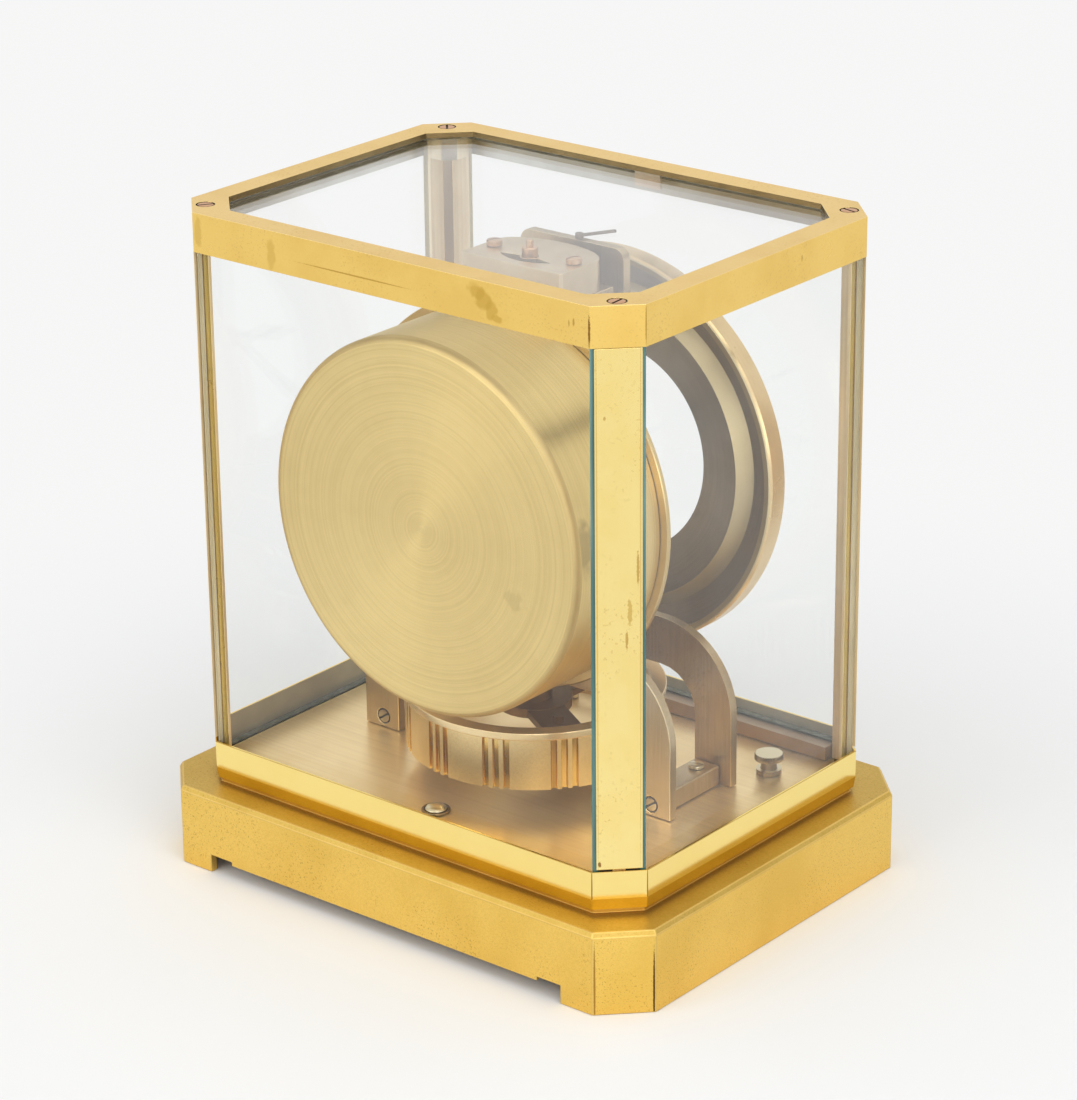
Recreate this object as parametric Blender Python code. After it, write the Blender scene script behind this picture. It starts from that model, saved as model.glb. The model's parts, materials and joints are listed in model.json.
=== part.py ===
"""Atmospheric clock: a glazed brass case with a vapour drum, a torsion balance and a lever train.

Lengths are metres, +Z is up, the dial faces -Y and the drum faces +Y. The origin is the middle
of the footprint on the table.
"""
import math

import bmesh
import bpy
from mathutils import Matrix, Vector

# Clearances shared by neighbouring pieces
seat_gap = 0.0003
run_gap = 0.0004
cut_overrun = 0.002

# Glazing
pane_thickness = 0.0030
side_pane_half_y = 0.0592
side_pane_end_gap = 0.000375
side_pane_setback = 0.00125
rear_pane_half_x = 0.0839
rear_pane_end_gap = 0.000425
rear_pane_setback = 0.0012
pane_frame_lap = 0.0049
front_pane_frame_lap = 0.0066
door_lift = 0.0042
pane_arris = 0.0011
top_pane_corner_leg = 0.0118

# Corner posts
post_face_leg = 0.01065
post_depth = 0.0093
post_lap = 0.0028
post_shadow = 0.0015

# Plinth band round the foot of the case
band_corner_leg = 0.0128
band_crease_rise = 0.0041
band_top_z = 0.0447
band_foot_inset = 0.0006
band_wall = 0.0009
band_ledge_width = 0.0046
floor_top_z = 0.0350

# Base shell, an eight-sided tray open below
base_step_x = 0.0099
base_step_y = 0.01015
base_corner_leg = 0.0147
base_crest_z = 0.0276
base_top_z = 0.0293
base_edge_inset = 0.00105
base_wall = 0.0030
base_deck = 0.0028
base_seat_height = 0.0014
base_seat_setback = 0.0018
base_foot_width = 0.0133
base_slot_width = 0.0098
base_slot_height = 0.0065
base_edge_lift = 0.0051

# Front sill
sill_depth = 0.0083
sill_top_z = 0.0405

# Top frame, set in from the band and carrying the top pane
case_height = 0.2350
frame_depth = 0.0134
frame_setback_x = 0.0004
frame_setback_y = 0.0002
frame_corner_leg = 0.0123
frame_flange = 0.0020
frame_skirt = 0.00055
frame_rail_width = 0.00915
opening_corner_leg = 0.0116
top_pane_inset_x = 0.00565
top_pane_inset_y = 0.0061

# Screws of the top frame
top_screw_inset_x = 0.00915
top_screw_inset_y = 0.0096
top_head_radius = 0.0030
top_head_height = 0.0010
top_shank_radius = 0.0014
top_shank_length = 0.0078
slot_width = 0.0007
slot_depth = 0.0005

# Catch behind the front pane
catch_half_width = 0.0054
catch_thickness = 0.0015
catch_frame_lap = 0.0028

# Floor fittings
floor_screw_margin = 0.0200
level_margin = 0.0167
lock_margin = 0.0193
floor_ring_radius = 0.0050
floor_ring_height = 0.0006
floor_dome_radius = 0.00375
floor_dome_height = 0.0014
level_radius = 0.0050
level_height = 0.0042
level_wall = 0.0010
level_floor = 0.0010
lock_x = 0.0240
lock_post_radius = 0.0026
lock_post_height = 0.0048
lock_arm_length = 0.0170
lock_arm_half_width = 0.0016
lock_arm_thickness = 0.0014
lock_arm_edge = 0.0005
lock_handle_radius = 0.0019
lock_handle_length = 0.0080

# Levelling thumbscrews and their feet
thumb_band_margin = 0.02525
thumb_plate_margin = 0.0150
thumb_radius = 0.0050
thumb_thickness = 0.0025
thumb_edge = 0.0005
thumb_top_z = 0.0428
thumb_neck_radius = 0.0028
thumb_flange_radius = 0.0044
thumb_flange_height = 0.0018
thumb_stem_radius = 0.0022
thumb_stem_low_z = 0.0130
foot_pad_radius = 0.0060
foot_pad_thickness = 0.0045
foot_pad_neck_radius = 0.0036
foot_pad_lift = 0.0004

# Arched frame plates
plate_thickness = 0.0035
rear_plate_y = 0.0100
front_plate_y = -0.0240
leg_outer_x = 0.0680
leg_inner_x = 0.0527
shoulder_x = 0.0380
shoulder_z = 0.0610
arch_z = 0.0590
mast_half_x = 0.0222
mast_fillet = 0.0050
mast_rise = 0.0006
mast_corner_radius = 0.0040
shelf_front_y = -0.0200
shelf_half_x = 0.0210
shelf_setback = 0.0006
wire_hole_radius = 0.0012

# Stretchers between the plates' feet
stretcher_inner_x = 0.0530
stretcher_outer_x = 0.0636
stretcher_top_z = 0.0427
stretcher_bevel = 0.0005
foot_screw_x = 0.0598
foot_screw_z = 0.0393
foot_head_radius = 0.0027
foot_head_height = 0.0012
foot_shank_radius = 0.0012
foot_shank_length = 0.0090
stretcher_screw_y = -0.0175

# Suspension
wire_y = -0.0020
block_half_x = 0.0215
block_rear_y = 0.0082
block_shoulder_y = -0.0100
block_front_y = -0.0208
block_thickness = 0.0108
block_edge = 0.0009
crescent_half_x = 0.0110
crescent_tip_y = 0.0005
crescent_rear_y = 0.0044
crescent_boss_wall = 0.0006
crescent_depth = 0.0050
block_screw_x = 0.0170
block_screw_y = -0.0040
block_head_radius = 0.0027
block_head_height = 0.0020
clamp_radius = 0.0027
clamp_cap_radius = 0.0012
clamp_headroom = 0.0085
clamp_cap_height = 0.0024
clamp_stand = 0.0032
clamp_seat_depth = 0.0076
wire_radius = 0.00025
wire_grip = 0.0060
regulator_hub_x = -0.0020
regulator_hub_radius = 0.0015
regulator_hub_height = 0.0016
regulator_thickness = 0.0009
regulator_tip_x = -0.0085
regulator_tip_y = -0.0372
regulator_half_width = 0.0006

# Torsion balance
balance_low_z = 0.0440
balance_rim_z = 0.0620
balance_top_z = 0.0650
balance_radius = 0.0450
balance_rim_radius = 0.0456
balance_bore = 0.0400
flute_depth = 0.0012
flute_groups = 12
flutes_in_group = 3
flute_angle = math.radians(2.8)
flute_pitch_angle = math.radians(4.7)
flute_phase = math.radians(82.1)
flute_floor_share = 0.7
spoke_count = 3
spoke_angle = math.radians(149.0)
spoke_half_width = 0.0068
spoke_plate_radius = 0.0130
spoke_boss_arm = 0.0235
spoke_boss_radius = 0.0019
spoke_boss_height = 0.0025
spoke_low_z = 0.0565
spoke_high_z = 0.0590
hub_radius = 0.0060
hub_high_z = 0.0650
staff_radius = 0.0016
staff_top_z = 0.0770
roller_radius = 0.0068
roller_thickness = 0.0012
pin_arm = 0.0050
pin_radius = 0.0005
pin_top_z = 0.0800
staff_low_z = 0.0520

# Vapour drum
cover_low_z = 0.0695
cover_shelf_rise = 0.0020
cover_lip = 0.0030
drum_rear_y = 0.0555
drum_edge = 0.0030
drum_wall = 0.0012
cover_front_y = 0.0103
cover_thickness = 0.0020
cover_bore = 0.0150
bellows_margin = 0.0095
bellows_fold_depth = 0.0070
bellows_folds = 5
bellows_front_y = 0.0260
bellows_travel = 0.0025
bellows_plate_inset = 0.0050
bellows_plate_thickness = 0.0014
spring_radius = 0.0300
spring_wire_radius = 0.0007
spring_turns = 3

# Dial
dial_ring_margin = 0.0110
dial_rim_width = 0.0044
dial_cone_width = 0.0166
dial_outer_y = -0.0490
dial_crown_y = -0.0445
dial_bore_y = -0.0485
dial_sheet = 0.0012
dial_pillar_x = 0.0090
dial_pillar_radius = 0.0025
hoop_cover_overhang = 0.0015
hoop_taper = 0.0006
hoop_wall = 0.0022
hoop_front_y = -0.0510
hoop_back_y = -0.0427
hoop_web_y = -0.0490
hoop_web_thickness = 0.0012

# Going train, every arbor along Y
third_rise_share = 0.38889
escape_drop_share = 0.4138
motion_distance = 0.0120
mesh_play = 0.00015
great_teeth = 36
third_teeth = 32
centre_teeth = 32
third_pinion_leaves = 6
centre_pinion_leaves = 8
escape_pinion_leaves = 8
cannon_teeth = 6
minute_teeth = 18
minute_pinion_leaves = 6
hour_teeth = 24
escape_teeth = 15
tooth_width_share = 0.36
tooth_tip_share = 0.16
tooth_root_share = 0.46
addendum_share = 0.90
dedendum_share = 1.20
wheel_thickness = 0.0015
centre_wheel_y = -0.0225
third_wheel_y = -0.0195
great_wheel_y = -0.0155
great_wheel_thickness = 0.0020
pinion_overhang = 0.0004
barrel_rim_margin = 0.0030
barrel_rear_y = -0.0060
barrel_hub_radius = 0.0034
barrel_hub_y = -0.0166
centre_arbor_radius = 0.0012
arbor_radius = 0.0009
pivot_radius = 0.0006
escape_radius = 0.0095
escape_root_radius = 0.0070
escape_wheel_y = -0.0180
escape_thickness = 0.0010
escape_tip_share = 0.10
escape_heel_share = 0.62
escape_phase_share = 0.333
pallet_drop = 0.01355
pallet_span = math.radians(31.0)
pallet_reach = 0.0101
pallet_stone_half = 0.00035
pallet_arm_half = 0.0009
fork_tip_z = 0.0804
fork_slot_half = 0.0010
fork_tine = 0.0010
fork_depth = 0.0022
fork_front_y = -0.0082
fork_rear_y = -0.0060
bridge_front_y = -0.0053
bridge_thickness = 0.0020
bridge_half_x = 0.0150
bridge_pallet_margin = 0.0053
bridge_third_margin = 0.00235
bridge_crown_margin = 0.00775
bridge_top_half_x = 0.0042
bridge_pillar_radius = 0.0022
bridge_pillar_margin = 0.0032

# Motion work and hands
minute_wheel_y = -0.0300
motion_thickness = 0.0012
hour_wheel_y = -0.0330
pipe_radius = 0.0026
pipe_wall = 0.0008
hour_hand_y = -0.0525
hand_thickness = 0.0006
minute_hand_y = -0.0545
minute_hand_margin = 0.0104
hour_hand_shortfall = 0.0150
hand_boss_radius = 0.0042
hand_boss_rise = 0.0001
hand_neck_half = 0.0009
hand_wide_half = 0.0026
hour_hand_angle = math.radians(70.0)
minute_hand_angle = math.radians(120.0)
hand_wide_share = 0.62

# Round forms: sides of large, middle and small pieces
large_sides = 48
middle_sides = 24
small_sides = 12
corner_steps = 6

# Plan of the case, which follows from the width of its panes
band_half_x = rear_pane_half_x + rear_pane_end_gap + (band_corner_leg + post_face_leg) / 2
band_half_y = side_pane_half_y + side_pane_end_gap + (band_corner_leg + post_face_leg) / 2
face_plane = band_half_x + band_half_y - band_corner_leg
base_half_x = band_half_x + base_step_x
base_half_y = band_half_y + base_step_y
side_pane_x = band_half_x - side_pane_setback
rear_pane_y = band_half_y - rear_pane_setback
sill_inner_y = rear_pane_y - sill_depth
frame_half_x = band_half_x - frame_setback_x
frame_half_y = band_half_y - frame_setback_y
opening_half_x = frame_half_x - frame_rail_width
opening_half_y = frame_half_y - frame_rail_width
top_pane_half_x = frame_half_x - top_pane_inset_x
top_pane_half_y = frame_half_y - top_pane_inset_y
top_screw_x = frame_half_x - top_screw_inset_x
top_screw_y = frame_half_y - top_screw_inset_y

# Sizes that follow from the ones above
leg_foot_z = floor_top_z + seat_gap
band_low_z = base_top_z + base_seat_height + seat_gap
ledge_top_z = floor_top_z - seat_gap
frame_low_z = case_height - frame_depth
pane_top_z = frame_low_z + pane_frame_lap
front_pane_top_z = frame_low_z + front_pane_frame_lap
catch_low_z = frame_low_z + catch_frame_lap
flange_low_z = case_height - frame_flange
top_pane_high_z = flange_low_z - seat_gap
top_pane_low_z = top_pane_high_z - pane_thickness
rear_plate_front_y = rear_plate_y - plate_thickness
front_plate_front_y = front_plate_y - plate_thickness
floor_screw_y = band_half_y - floor_screw_margin
level_y = level_margin - band_half_y
lock_y = lock_margin - band_half_y
thumb_x = band_half_x - thumb_band_margin
thumb_y = front_plate_front_y - thumb_plate_margin

# Heights of the suspension, which hangs below the top pane
clamp_top_z = top_pane_low_z - clamp_headroom
clamp_step_z = clamp_top_z - clamp_cap_height
block_top_z = clamp_step_z - clamp_stand
block_low_z = block_top_z - block_thickness
shelf_top_z = block_low_z - seat_gap
front_mast_top_z = block_top_z + mast_rise
clamp_foot_z = block_top_z - clamp_seat_depth
wire_top_z = clamp_foot_z + wire_grip

# Drum and dial, which fill the room between the balance and the shelf
cover_radius = (shelf_top_z + cover_shelf_rise - cover_low_z) / 2
drum_z = cover_low_z + cover_radius
drum_radius = cover_radius - cover_lip
bellows_radius = drum_radius - bellows_margin
bellows_root_radius = bellows_radius - bellows_fold_depth
bellows_plate_radius = bellows_root_radius - bellows_plate_inset
hoop_radius = cover_radius + hoop_cover_overhang
hoop_back_radius = hoop_radius - hoop_taper
dial_ring_outer = hoop_back_radius - dial_ring_margin
dial_cone_radius = dial_ring_outer - dial_rim_width
dial_bore = dial_cone_radius - dial_cone_width
minute_hand_length = dial_ring_outer - minute_hand_margin
hour_hand_length = minute_hand_length - hour_hand_shortfall

# Arbors of the train, above and below the drum's axis
train_distance = third_rise_share * (shelf_top_z - plate_thickness - drum_z)
escape_distance = escape_drop_share * (drum_z - pin_top_z)
barrel_radius = (train_distance * great_teeth / (great_teeth + third_pinion_leaves)
                 - barrel_rim_margin)
third_z = drum_z + train_distance + mesh_play
escape_z = drum_z - escape_distance - mesh_play
minute_z = drum_z - motion_distance - mesh_play
pallet_z = escape_z - pallet_drop
bridge_rear_y = bridge_front_y + bridge_thickness
bridge_low_z = pallet_z - bridge_pallet_margin
bridge_shoulder_z = third_z + bridge_third_margin
bridge_high_z = (third_z + train_distance * third_teeth / (third_teeth + centre_pinion_leaves)
                 + bridge_crown_margin)


for old in list(bpy.data.objects):
    bpy.data.objects.remove(old, do_unlink=True)


def material(name, colour, roughness, metallic=1.0, alpha=1.0):
    """Return a Principled material."""
    made = bpy.data.materials.new(name)
    made.use_nodes = True
    shader = made.node_tree.nodes["Principled BSDF"]
    shader.inputs["Base Color"].default_value = (*colour, 1.0)
    shader.inputs["Roughness"].default_value = roughness
    shader.inputs["Metallic"].default_value = metallic
    shader.inputs["Alpha"].default_value = alpha
    return made


COLOURS = {
    "brass_polished": ((0.95, 0.72, 0.30), 0.16, 1.0, 1.0),
    "brass_satin": ((0.84, 0.62, 0.27), 0.34, 1.0, 1.0),
    "brass_pale": ((0.72, 0.62, 0.40), 0.38, 1.0, 1.0),
    "brass_brown": ((0.40, 0.31, 0.22), 0.52, 1.0, 1.0),
    "steel": ((0.55, 0.54, 0.52), 0.30, 1.0, 1.0),
    "copper_screw": ((0.62, 0.33, 0.16), 0.38, 1.0, 1.0),
    "enamel": ((0.90, 0.89, 0.84), 0.40, 0.0, 1.0),
    "dark_hand": ((0.04, 0.04, 0.045), 0.35, 0.0, 1.0),
    "clear_glass": ((0.86, 0.94, 0.92), 0.03, 0.0, 0.25),
}

case_empty = bpy.data.objects.new("clock_case", None)
bpy.context.scene.collection.objects.link(case_empty)


def finish(name, bm, colour, origin=(0.0, 0.0, 0.0), sharp=35.0):
    """Turn a bmesh in world places into an object whose origin is on its own axis."""
    centre = Vector(origin)
    bmesh.ops.recalc_face_normals(bm, faces=bm.faces)
    bmesh.ops.translate(bm, verts=bm.verts, vec=-centre)
    mesh = bpy.data.meshes.new(name)
    bm.to_mesh(mesh)
    bm.free()
    mesh.shade_smooth()
    mesh.set_sharp_from_angle(angle=math.radians(sharp))
    made = bpy.data.objects.new(name, mesh)
    made.data.materials.append(material(name + "_finish", *COLOURS[colour]))
    made.location = centre
    made.parent = case_empty
    bpy.context.scene.collection.objects.link(made)
    return made


def bake(target):
    """Replace the object's mesh by the shape that its modifiers give."""
    graph = bpy.context.evaluated_depsgraph_get()
    graph.update()
    shaped = bpy.data.meshes.new_from_object(target.evaluated_get(graph))
    target.modifiers.clear()
    target.data = shaped


def boolean(target, tool_bm, operation):
    """Cut a closed tool out of the target, or join the two."""
    bmesh.ops.recalc_face_normals(tool_bm, faces=tool_bm.faces)
    mesh = bpy.data.meshes.new("tool")
    tool_bm.to_mesh(mesh)
    tool_bm.free()
    tool = bpy.data.objects.new("tool", mesh)
    tool.hide_render = True
    tool.display_type = "WIRE"
    bpy.context.scene.collection.objects.link(tool)
    modifier = target.modifiers.new("shape", "BOOLEAN")
    modifier.operation = operation
    modifier.solver = "EXACT"
    modifier.object = tool
    bake(target)
    bpy.data.objects.remove(tool, do_unlink=True)


def cut(target, tool_bm):
    boolean(target, tool_bm, "DIFFERENCE")


def join(target, tool_bm):
    boolean(target, tool_bm, "UNION")


def loops_to_bm(loops, ring=False):
    """Skin a run of equal loops, closing it on itself or capping both ends."""
    bm = bmesh.new()
    rows = [[bm.verts.new(point) for point in loop] for loop in loops]
    pairs = list(zip(rows, rows[1:]))
    if ring:
        pairs.append((rows[-1], rows[0]))
    count = len(rows[0])
    for low, high in pairs:
        for i in range(count):
            j = (i + 1) % count
            bm.faces.new((low[i], low[j], high[j], high[i]))
    if not ring:
        bm.faces.new(list(reversed(rows[0])))
        bm.faces.new(rows[-1])
    return bm


def octagon(half_x, half_y, leg, z, inset=0.0):
    """Corners of a rectangle with cut corners, drawn in evenly by the inset."""
    a = half_x - inset
    b = half_y - inset
    c = leg - inset * (2 - math.sqrt(2))
    quarter = [(a, b - c), (a - c, b)]
    points = quarter + [(-x, y) for x, y in reversed(quarter)]
    points += [(-x, -y) for x, y in quarter] + [(x, -y) for x, y in reversed(quarter)]
    return [(x, y, z) for x, y in points]


def prism(outline, low, high, axis="Z"):
    """Extrude a plane outline between two levels of an axis."""
    places = {"Z": lambda p, h: (p[0], p[1], h), "Y": lambda p, h: (p[0], h, p[1]),
              "X": lambda p, h: (h, p[0], p[1])}[axis]
    bm = bmesh.new()
    face = bm.faces.new([bm.verts.new(places(point, low)) for point in outline])
    grown = bmesh.ops.extrude_face_region(bm, geom=[face])
    moved = [item for item in grown["geom"] if isinstance(item, bmesh.types.BMVert)]
    step = Vector(places((0.0, 0.0), high - low))
    bmesh.ops.translate(bm, verts=moved, vec=step)
    return bm


def box(x, y, z):
    """Closed box from three (low, high) pairs."""
    outline = [(x[0], y[0]), (x[1], y[0]), (x[1], y[1]), (x[0], y[1])]
    return prism(outline, z[0], z[1])


def lathe(profile, centre, axis="Z", sides=None, hollow=False):
    """Turn a profile of (radius, height) pairs about an axis through the centre.

    A hollow profile is a closed loop clear of the axis, and any other starts and ends on it.
    """
    sides = sides or middle_sides
    spot = Vector(centre)
    turn = {"Z": Vector((0, 0, 1)), "Y": Vector((0, 1, 0))}[axis]
    out = Vector((1, 0, 0))
    bm = bmesh.new()
    verts = []
    for radius, height in profile:
        place = spot + out * radius
        place = place + turn * (height - spot.dot(turn))
        verts.append(bm.verts.new(place))
    edges = [bm.edges.new(pair) for pair in zip(verts, verts[1:])]
    if hollow:
        edges.append(bm.edges.new((verts[-1], verts[0])))
    bmesh.ops.spin(bm, geom=verts + edges, cent=spot, axis=turn, angle=math.tau, steps=sides,
                   use_merge=True)
    bmesh.ops.remove_doubles(bm, verts=bm.verts, dist=wire_radius / sides)
    return bm


def rod(radius, low, high, centre, axis="Z", sides=None):
    """Plain cylinder between two levels."""
    return lathe([(0.0, low), (radius, low), (radius, high), (0.0, high)], centre, axis,
                 sides or small_sides)


def merge(*shapes):
    """Put several separate closed shapes into one bmesh."""
    whole = bmesh.new()
    for shape in shapes:
        mesh = bpy.data.meshes.new("piece")
        shape.to_mesh(mesh)
        shape.free()
        whole.from_mesh(mesh)
        bpy.data.meshes.remove(mesh)
    return whole


def arc(centre, radius, start, end, steps=None):
    """Points along an arc, both ends included, angles in degrees."""
    steps = steps or corner_steps
    points = []
    for i in range(steps + 1):
        angle = math.radians(start + (end - start) * i / steps)
        points.append((centre[0] + radius * math.cos(angle), centre[1] + radius * math.sin(angle)))
    return points


def turned(outline, angle, centre=(0.0, 0.0)):
    """Outline turned about a point and moved to it."""
    c, s = math.cos(angle), math.sin(angle)
    return [(centre[0] + x * c - y * s, centre[1] + x * s + y * c) for x, y in outline]


def slotted_screw(name, place, axis, head_radius, head_height, shank_radius, shank_length, colour,
                  sign=1.0):
    """Flat-headed screw with a slot; the place is the middle of the head's outer face."""
    along = {"Z": 2, "Y": 1}[axis]
    top = place[along]
    under = top - sign * head_height
    tip = under - sign * shank_length
    profile = [(0.0, top), (head_radius, top), (head_radius, under), (shank_radius, under),
               (shank_radius, tip), (0.0, tip)]
    made = finish(name, lathe(profile, place, axis, small_sides), colour, place)
    half = slot_width / 2
    reach = head_radius + cut_overrun
    span = sorted((top - sign * slot_depth, top + sign * cut_overrun))
    if axis == "Z":
        tool = box((-reach, reach), (-half, half), span)
        bmesh.ops.rotate(tool, verts=tool.verts, cent=(0, 0, 0),
                         matrix=Matrix.Rotation(math.radians(35.0), 3, "Z"))
        bmesh.ops.translate(tool, verts=tool.verts, vec=(place[0], place[1], 0.0))
    else:
        tool = box((-reach, reach), span, (-half, half))
        bmesh.ops.rotate(tool, verts=tool.verts, cent=(0, 0, 0),
                         matrix=Matrix.Rotation(math.radians(35.0), 3, "Y"))
        bmesh.ops.translate(tool, verts=tool.verts, vec=(place[0], 0.0, place[2]))
    cut(made, tool)
    return made


# Case
shell_loops = [
    octagon(base_half_x, base_half_y, base_corner_leg, base_top_z - base_deck, base_wall),
    octagon(base_half_x, base_half_y, base_corner_leg, 0.0, base_wall),
    octagon(base_half_x, base_half_y, base_corner_leg, 0.0),
    octagon(base_half_x, base_half_y, base_corner_leg, base_crest_z),
    octagon(base_half_x, base_half_y, base_corner_leg, base_top_z, base_edge_inset),
    octagon(band_half_x, band_half_y, band_corner_leg, base_top_z, base_seat_setback),
    octagon(band_half_x, band_half_y, band_corner_leg, base_top_z + base_seat_height,
            base_seat_setback),
]
base_shell = finish("base_shell", loops_to_bm(shell_loops), "brass_satin", sharp=20.0)
slot_start_x = base_half_x - base_corner_leg - base_foot_width
slot_end_x = slot_start_x - base_slot_width
rear_low_edge = [
    (-slot_start_x, -cut_overrun), (slot_start_x, -cut_overrun), (slot_start_x, base_slot_height),
    (slot_end_x, base_slot_height), (slot_end_x, base_edge_lift), (-slot_end_x, base_edge_lift),
    (-slot_end_x, base_slot_height), (-slot_start_x, base_slot_height),
]
cut(base_shell, prism(rear_low_edge, base_half_y - base_wall - cut_overrun,
                      base_half_y + cut_overrun, "Y"))
stem_hole = thumb_stem_radius + run_gap
cut(base_shell, merge(*[
    rod(stem_hole, base_top_z - base_deck - cut_overrun,
        base_top_z + base_seat_height + cut_overrun, (x, thumb_y, 0.0))
    for x in (-thumb_x, thumb_x)]))

band_crease_z = band_low_z + band_crease_rise
band_loops = [
    octagon(band_half_x, band_half_y, band_corner_leg, band_low_z, band_foot_inset),
    octagon(band_half_x, band_half_y, band_corner_leg, band_crease_z),
    octagon(band_half_x, band_half_y, band_corner_leg, band_top_z),
    octagon(band_half_x, band_half_y, band_corner_leg, band_top_z, band_wall),
    octagon(band_half_x, band_half_y, band_corner_leg, ledge_top_z, band_wall),
    octagon(band_half_x, band_half_y, band_corner_leg, ledge_top_z, band_ledge_width),
    octagon(band_half_x, band_half_y, band_corner_leg, band_low_z, band_ledge_width),
]
plinth_band = finish("plinth_band", loops_to_bm(band_loops, ring=True), "brass_polished",
                     sharp=3.0)

plate_inset = band_ledge_width + seat_gap
floor_plate = finish("floor_plate", loops_to_bm([
    octagon(band_half_x, band_half_y, band_corner_leg, band_low_z, plate_inset),
    octagon(band_half_x, band_half_y, band_corner_leg, floor_top_z, plate_inset),
]), "brass_satin")
cut(floor_plate, merge(*[
    rod(stem_hole, band_low_z - cut_overrun, floor_top_z + cut_overrun, (x, thumb_y, 0.0))
    for x in (-thumb_x, thumb_x)]))


def post(name, side_x, side_y):
    """Folded corner post between two panes, relieved where the band and the frame wrap it."""
    face_x = band_half_x - (band_corner_leg - post_face_leg) / 2
    face_y = band_half_y - (band_corner_leg - post_face_leg) / 2
    near_x = side_pane_x - pane_thickness - seat_gap
    near_y = rear_pane_y - pane_thickness - seat_gap
    tip_x = rear_pane_half_x - post_lap
    tip_y = side_pane_half_y - post_lap
    inner_plane = face_plane - post_depth * math.sqrt(2)
    outline = [
        (face_x, face_y - post_face_leg), (face_x - post_face_leg, face_y),
        (face_x - post_face_leg, near_y), (tip_x, near_y), (tip_x, inner_plane - tip_x),
        (inner_plane - tip_y, tip_y), (near_x, tip_y), (near_x, face_y - post_face_leg),
    ]
    made = finish(name, prism([(x * side_x, y * side_y) for x, y in outline], leg_foot_z,
                              flange_low_z - seat_gap), "brass_polished",
                  (side_x * (face_x - post_face_leg), side_y * (face_y - post_face_leg), 0.0))
    relief = face_plane - (band_wall + seat_gap) * math.sqrt(2)
    far = face_plane + post_depth
    outer = [(relief - far, far), (far, far), (far, relief - far)]
    outer = [(x * side_x, y * side_y) for x, y in outer]
    cut(made, prism(outer, leg_foot_z - cut_overrun, band_top_z + post_shadow))
    cut(made, prism(outer, frame_low_z - seat_gap, case_height))
    shoulder = top_pane_half_x + top_pane_half_y - top_pane_corner_leg + seat_gap * math.sqrt(2)
    inner = [(0.0, 0.0), (shoulder, 0.0), (0.0, shoulder)]
    cut(made, prism([(x * side_x, y * side_y) for x, y in inner], top_pane_low_z - seat_gap,
                    case_height))
    hole_low = flange_low_z - top_shank_length
    cut(made, rod(top_shank_radius + seat_gap, hole_low, case_height,
                  (side_x * top_screw_x, side_y * top_screw_y, 0.0)))
    return made


post_rear_left = post("post_rear_left", 1, 1)
post_rear_right = post("post_rear_right", -1, 1)
post_front_left = post("post_front_left", 1, -1)
post_front_right = post("post_front_right", -1, -1)

top_loops = [
    octagon(frame_half_x, frame_half_y, frame_corner_leg, frame_low_z),
    octagon(frame_half_x, frame_half_y, frame_corner_leg, case_height),
    octagon(opening_half_x, opening_half_y, opening_corner_leg, case_height),
    octagon(opening_half_x, opening_half_y, opening_corner_leg, flange_low_z),
    octagon(frame_half_x, frame_half_y, frame_corner_leg, flange_low_z, frame_skirt),
    octagon(frame_half_x, frame_half_y, frame_corner_leg, frame_low_z, frame_skirt),
]
top_frame = finish("top_frame", loops_to_bm(top_loops, ring=True), "brass_satin", sharp=20.0)
screw_places = [(x, y) for y in (top_screw_y, -top_screw_y) for x in (top_screw_x, -top_screw_x)]
cut(top_frame, merge(*[
    lathe([(0.0, case_height + cut_overrun), (top_head_radius + seat_gap, case_height + cut_overrun),
           (top_head_radius + seat_gap, case_height - top_head_height - seat_gap),
           (top_shank_radius + seat_gap, case_height - top_head_height - seat_gap),
           (top_shank_radius + seat_gap, flange_low_z - cut_overrun),
           (0.0, flange_low_z - cut_overrun)],
          (x, y, 0.0), "Z", small_sides) for x, y in screw_places]))
for index, (x, y) in enumerate(screw_places, 1):
    slotted_screw("top_screw_%d" % index, (x, y, case_height), "Z", top_head_radius,
                  top_head_height, top_shank_radius,
                  top_shank_length - frame_flange, "copper_screw")

top_glass = finish("top_glass", loops_to_bm([
    octagon(top_pane_half_x, top_pane_half_y, top_pane_corner_leg, top_pane_low_z),
    octagon(top_pane_half_x, top_pane_half_y, top_pane_corner_leg, top_pane_high_z),
]), "clear_glass")


def pane(name, half, face, low, high, turn, origin=(0.0, 0.0, 0.0)):
    """Upright pane with ground outer edges; the turn brings its outer face from +X round Z."""
    inner = face - pane_thickness
    outline = [(inner, -half), (face - pane_arris, -half), (face, pane_arris - half),
               (face, half - pane_arris), (face - pane_arris, half), (inner, half)]
    return finish(name, prism(turned(outline, math.radians(turn)), low, high), "clear_glass",
                  origin)


side_glass_left = pane("side_glass_left", side_pane_half_y, side_pane_x, floor_top_z, pane_top_z,
                       0.0)
side_glass_right = pane("side_glass_right", side_pane_half_y, side_pane_x, floor_top_z,
                        pane_top_z, 180.0)
rear_glass = pane("rear_glass", rear_pane_half_x, rear_pane_y, floor_top_z, pane_top_z, 90.0)

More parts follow.
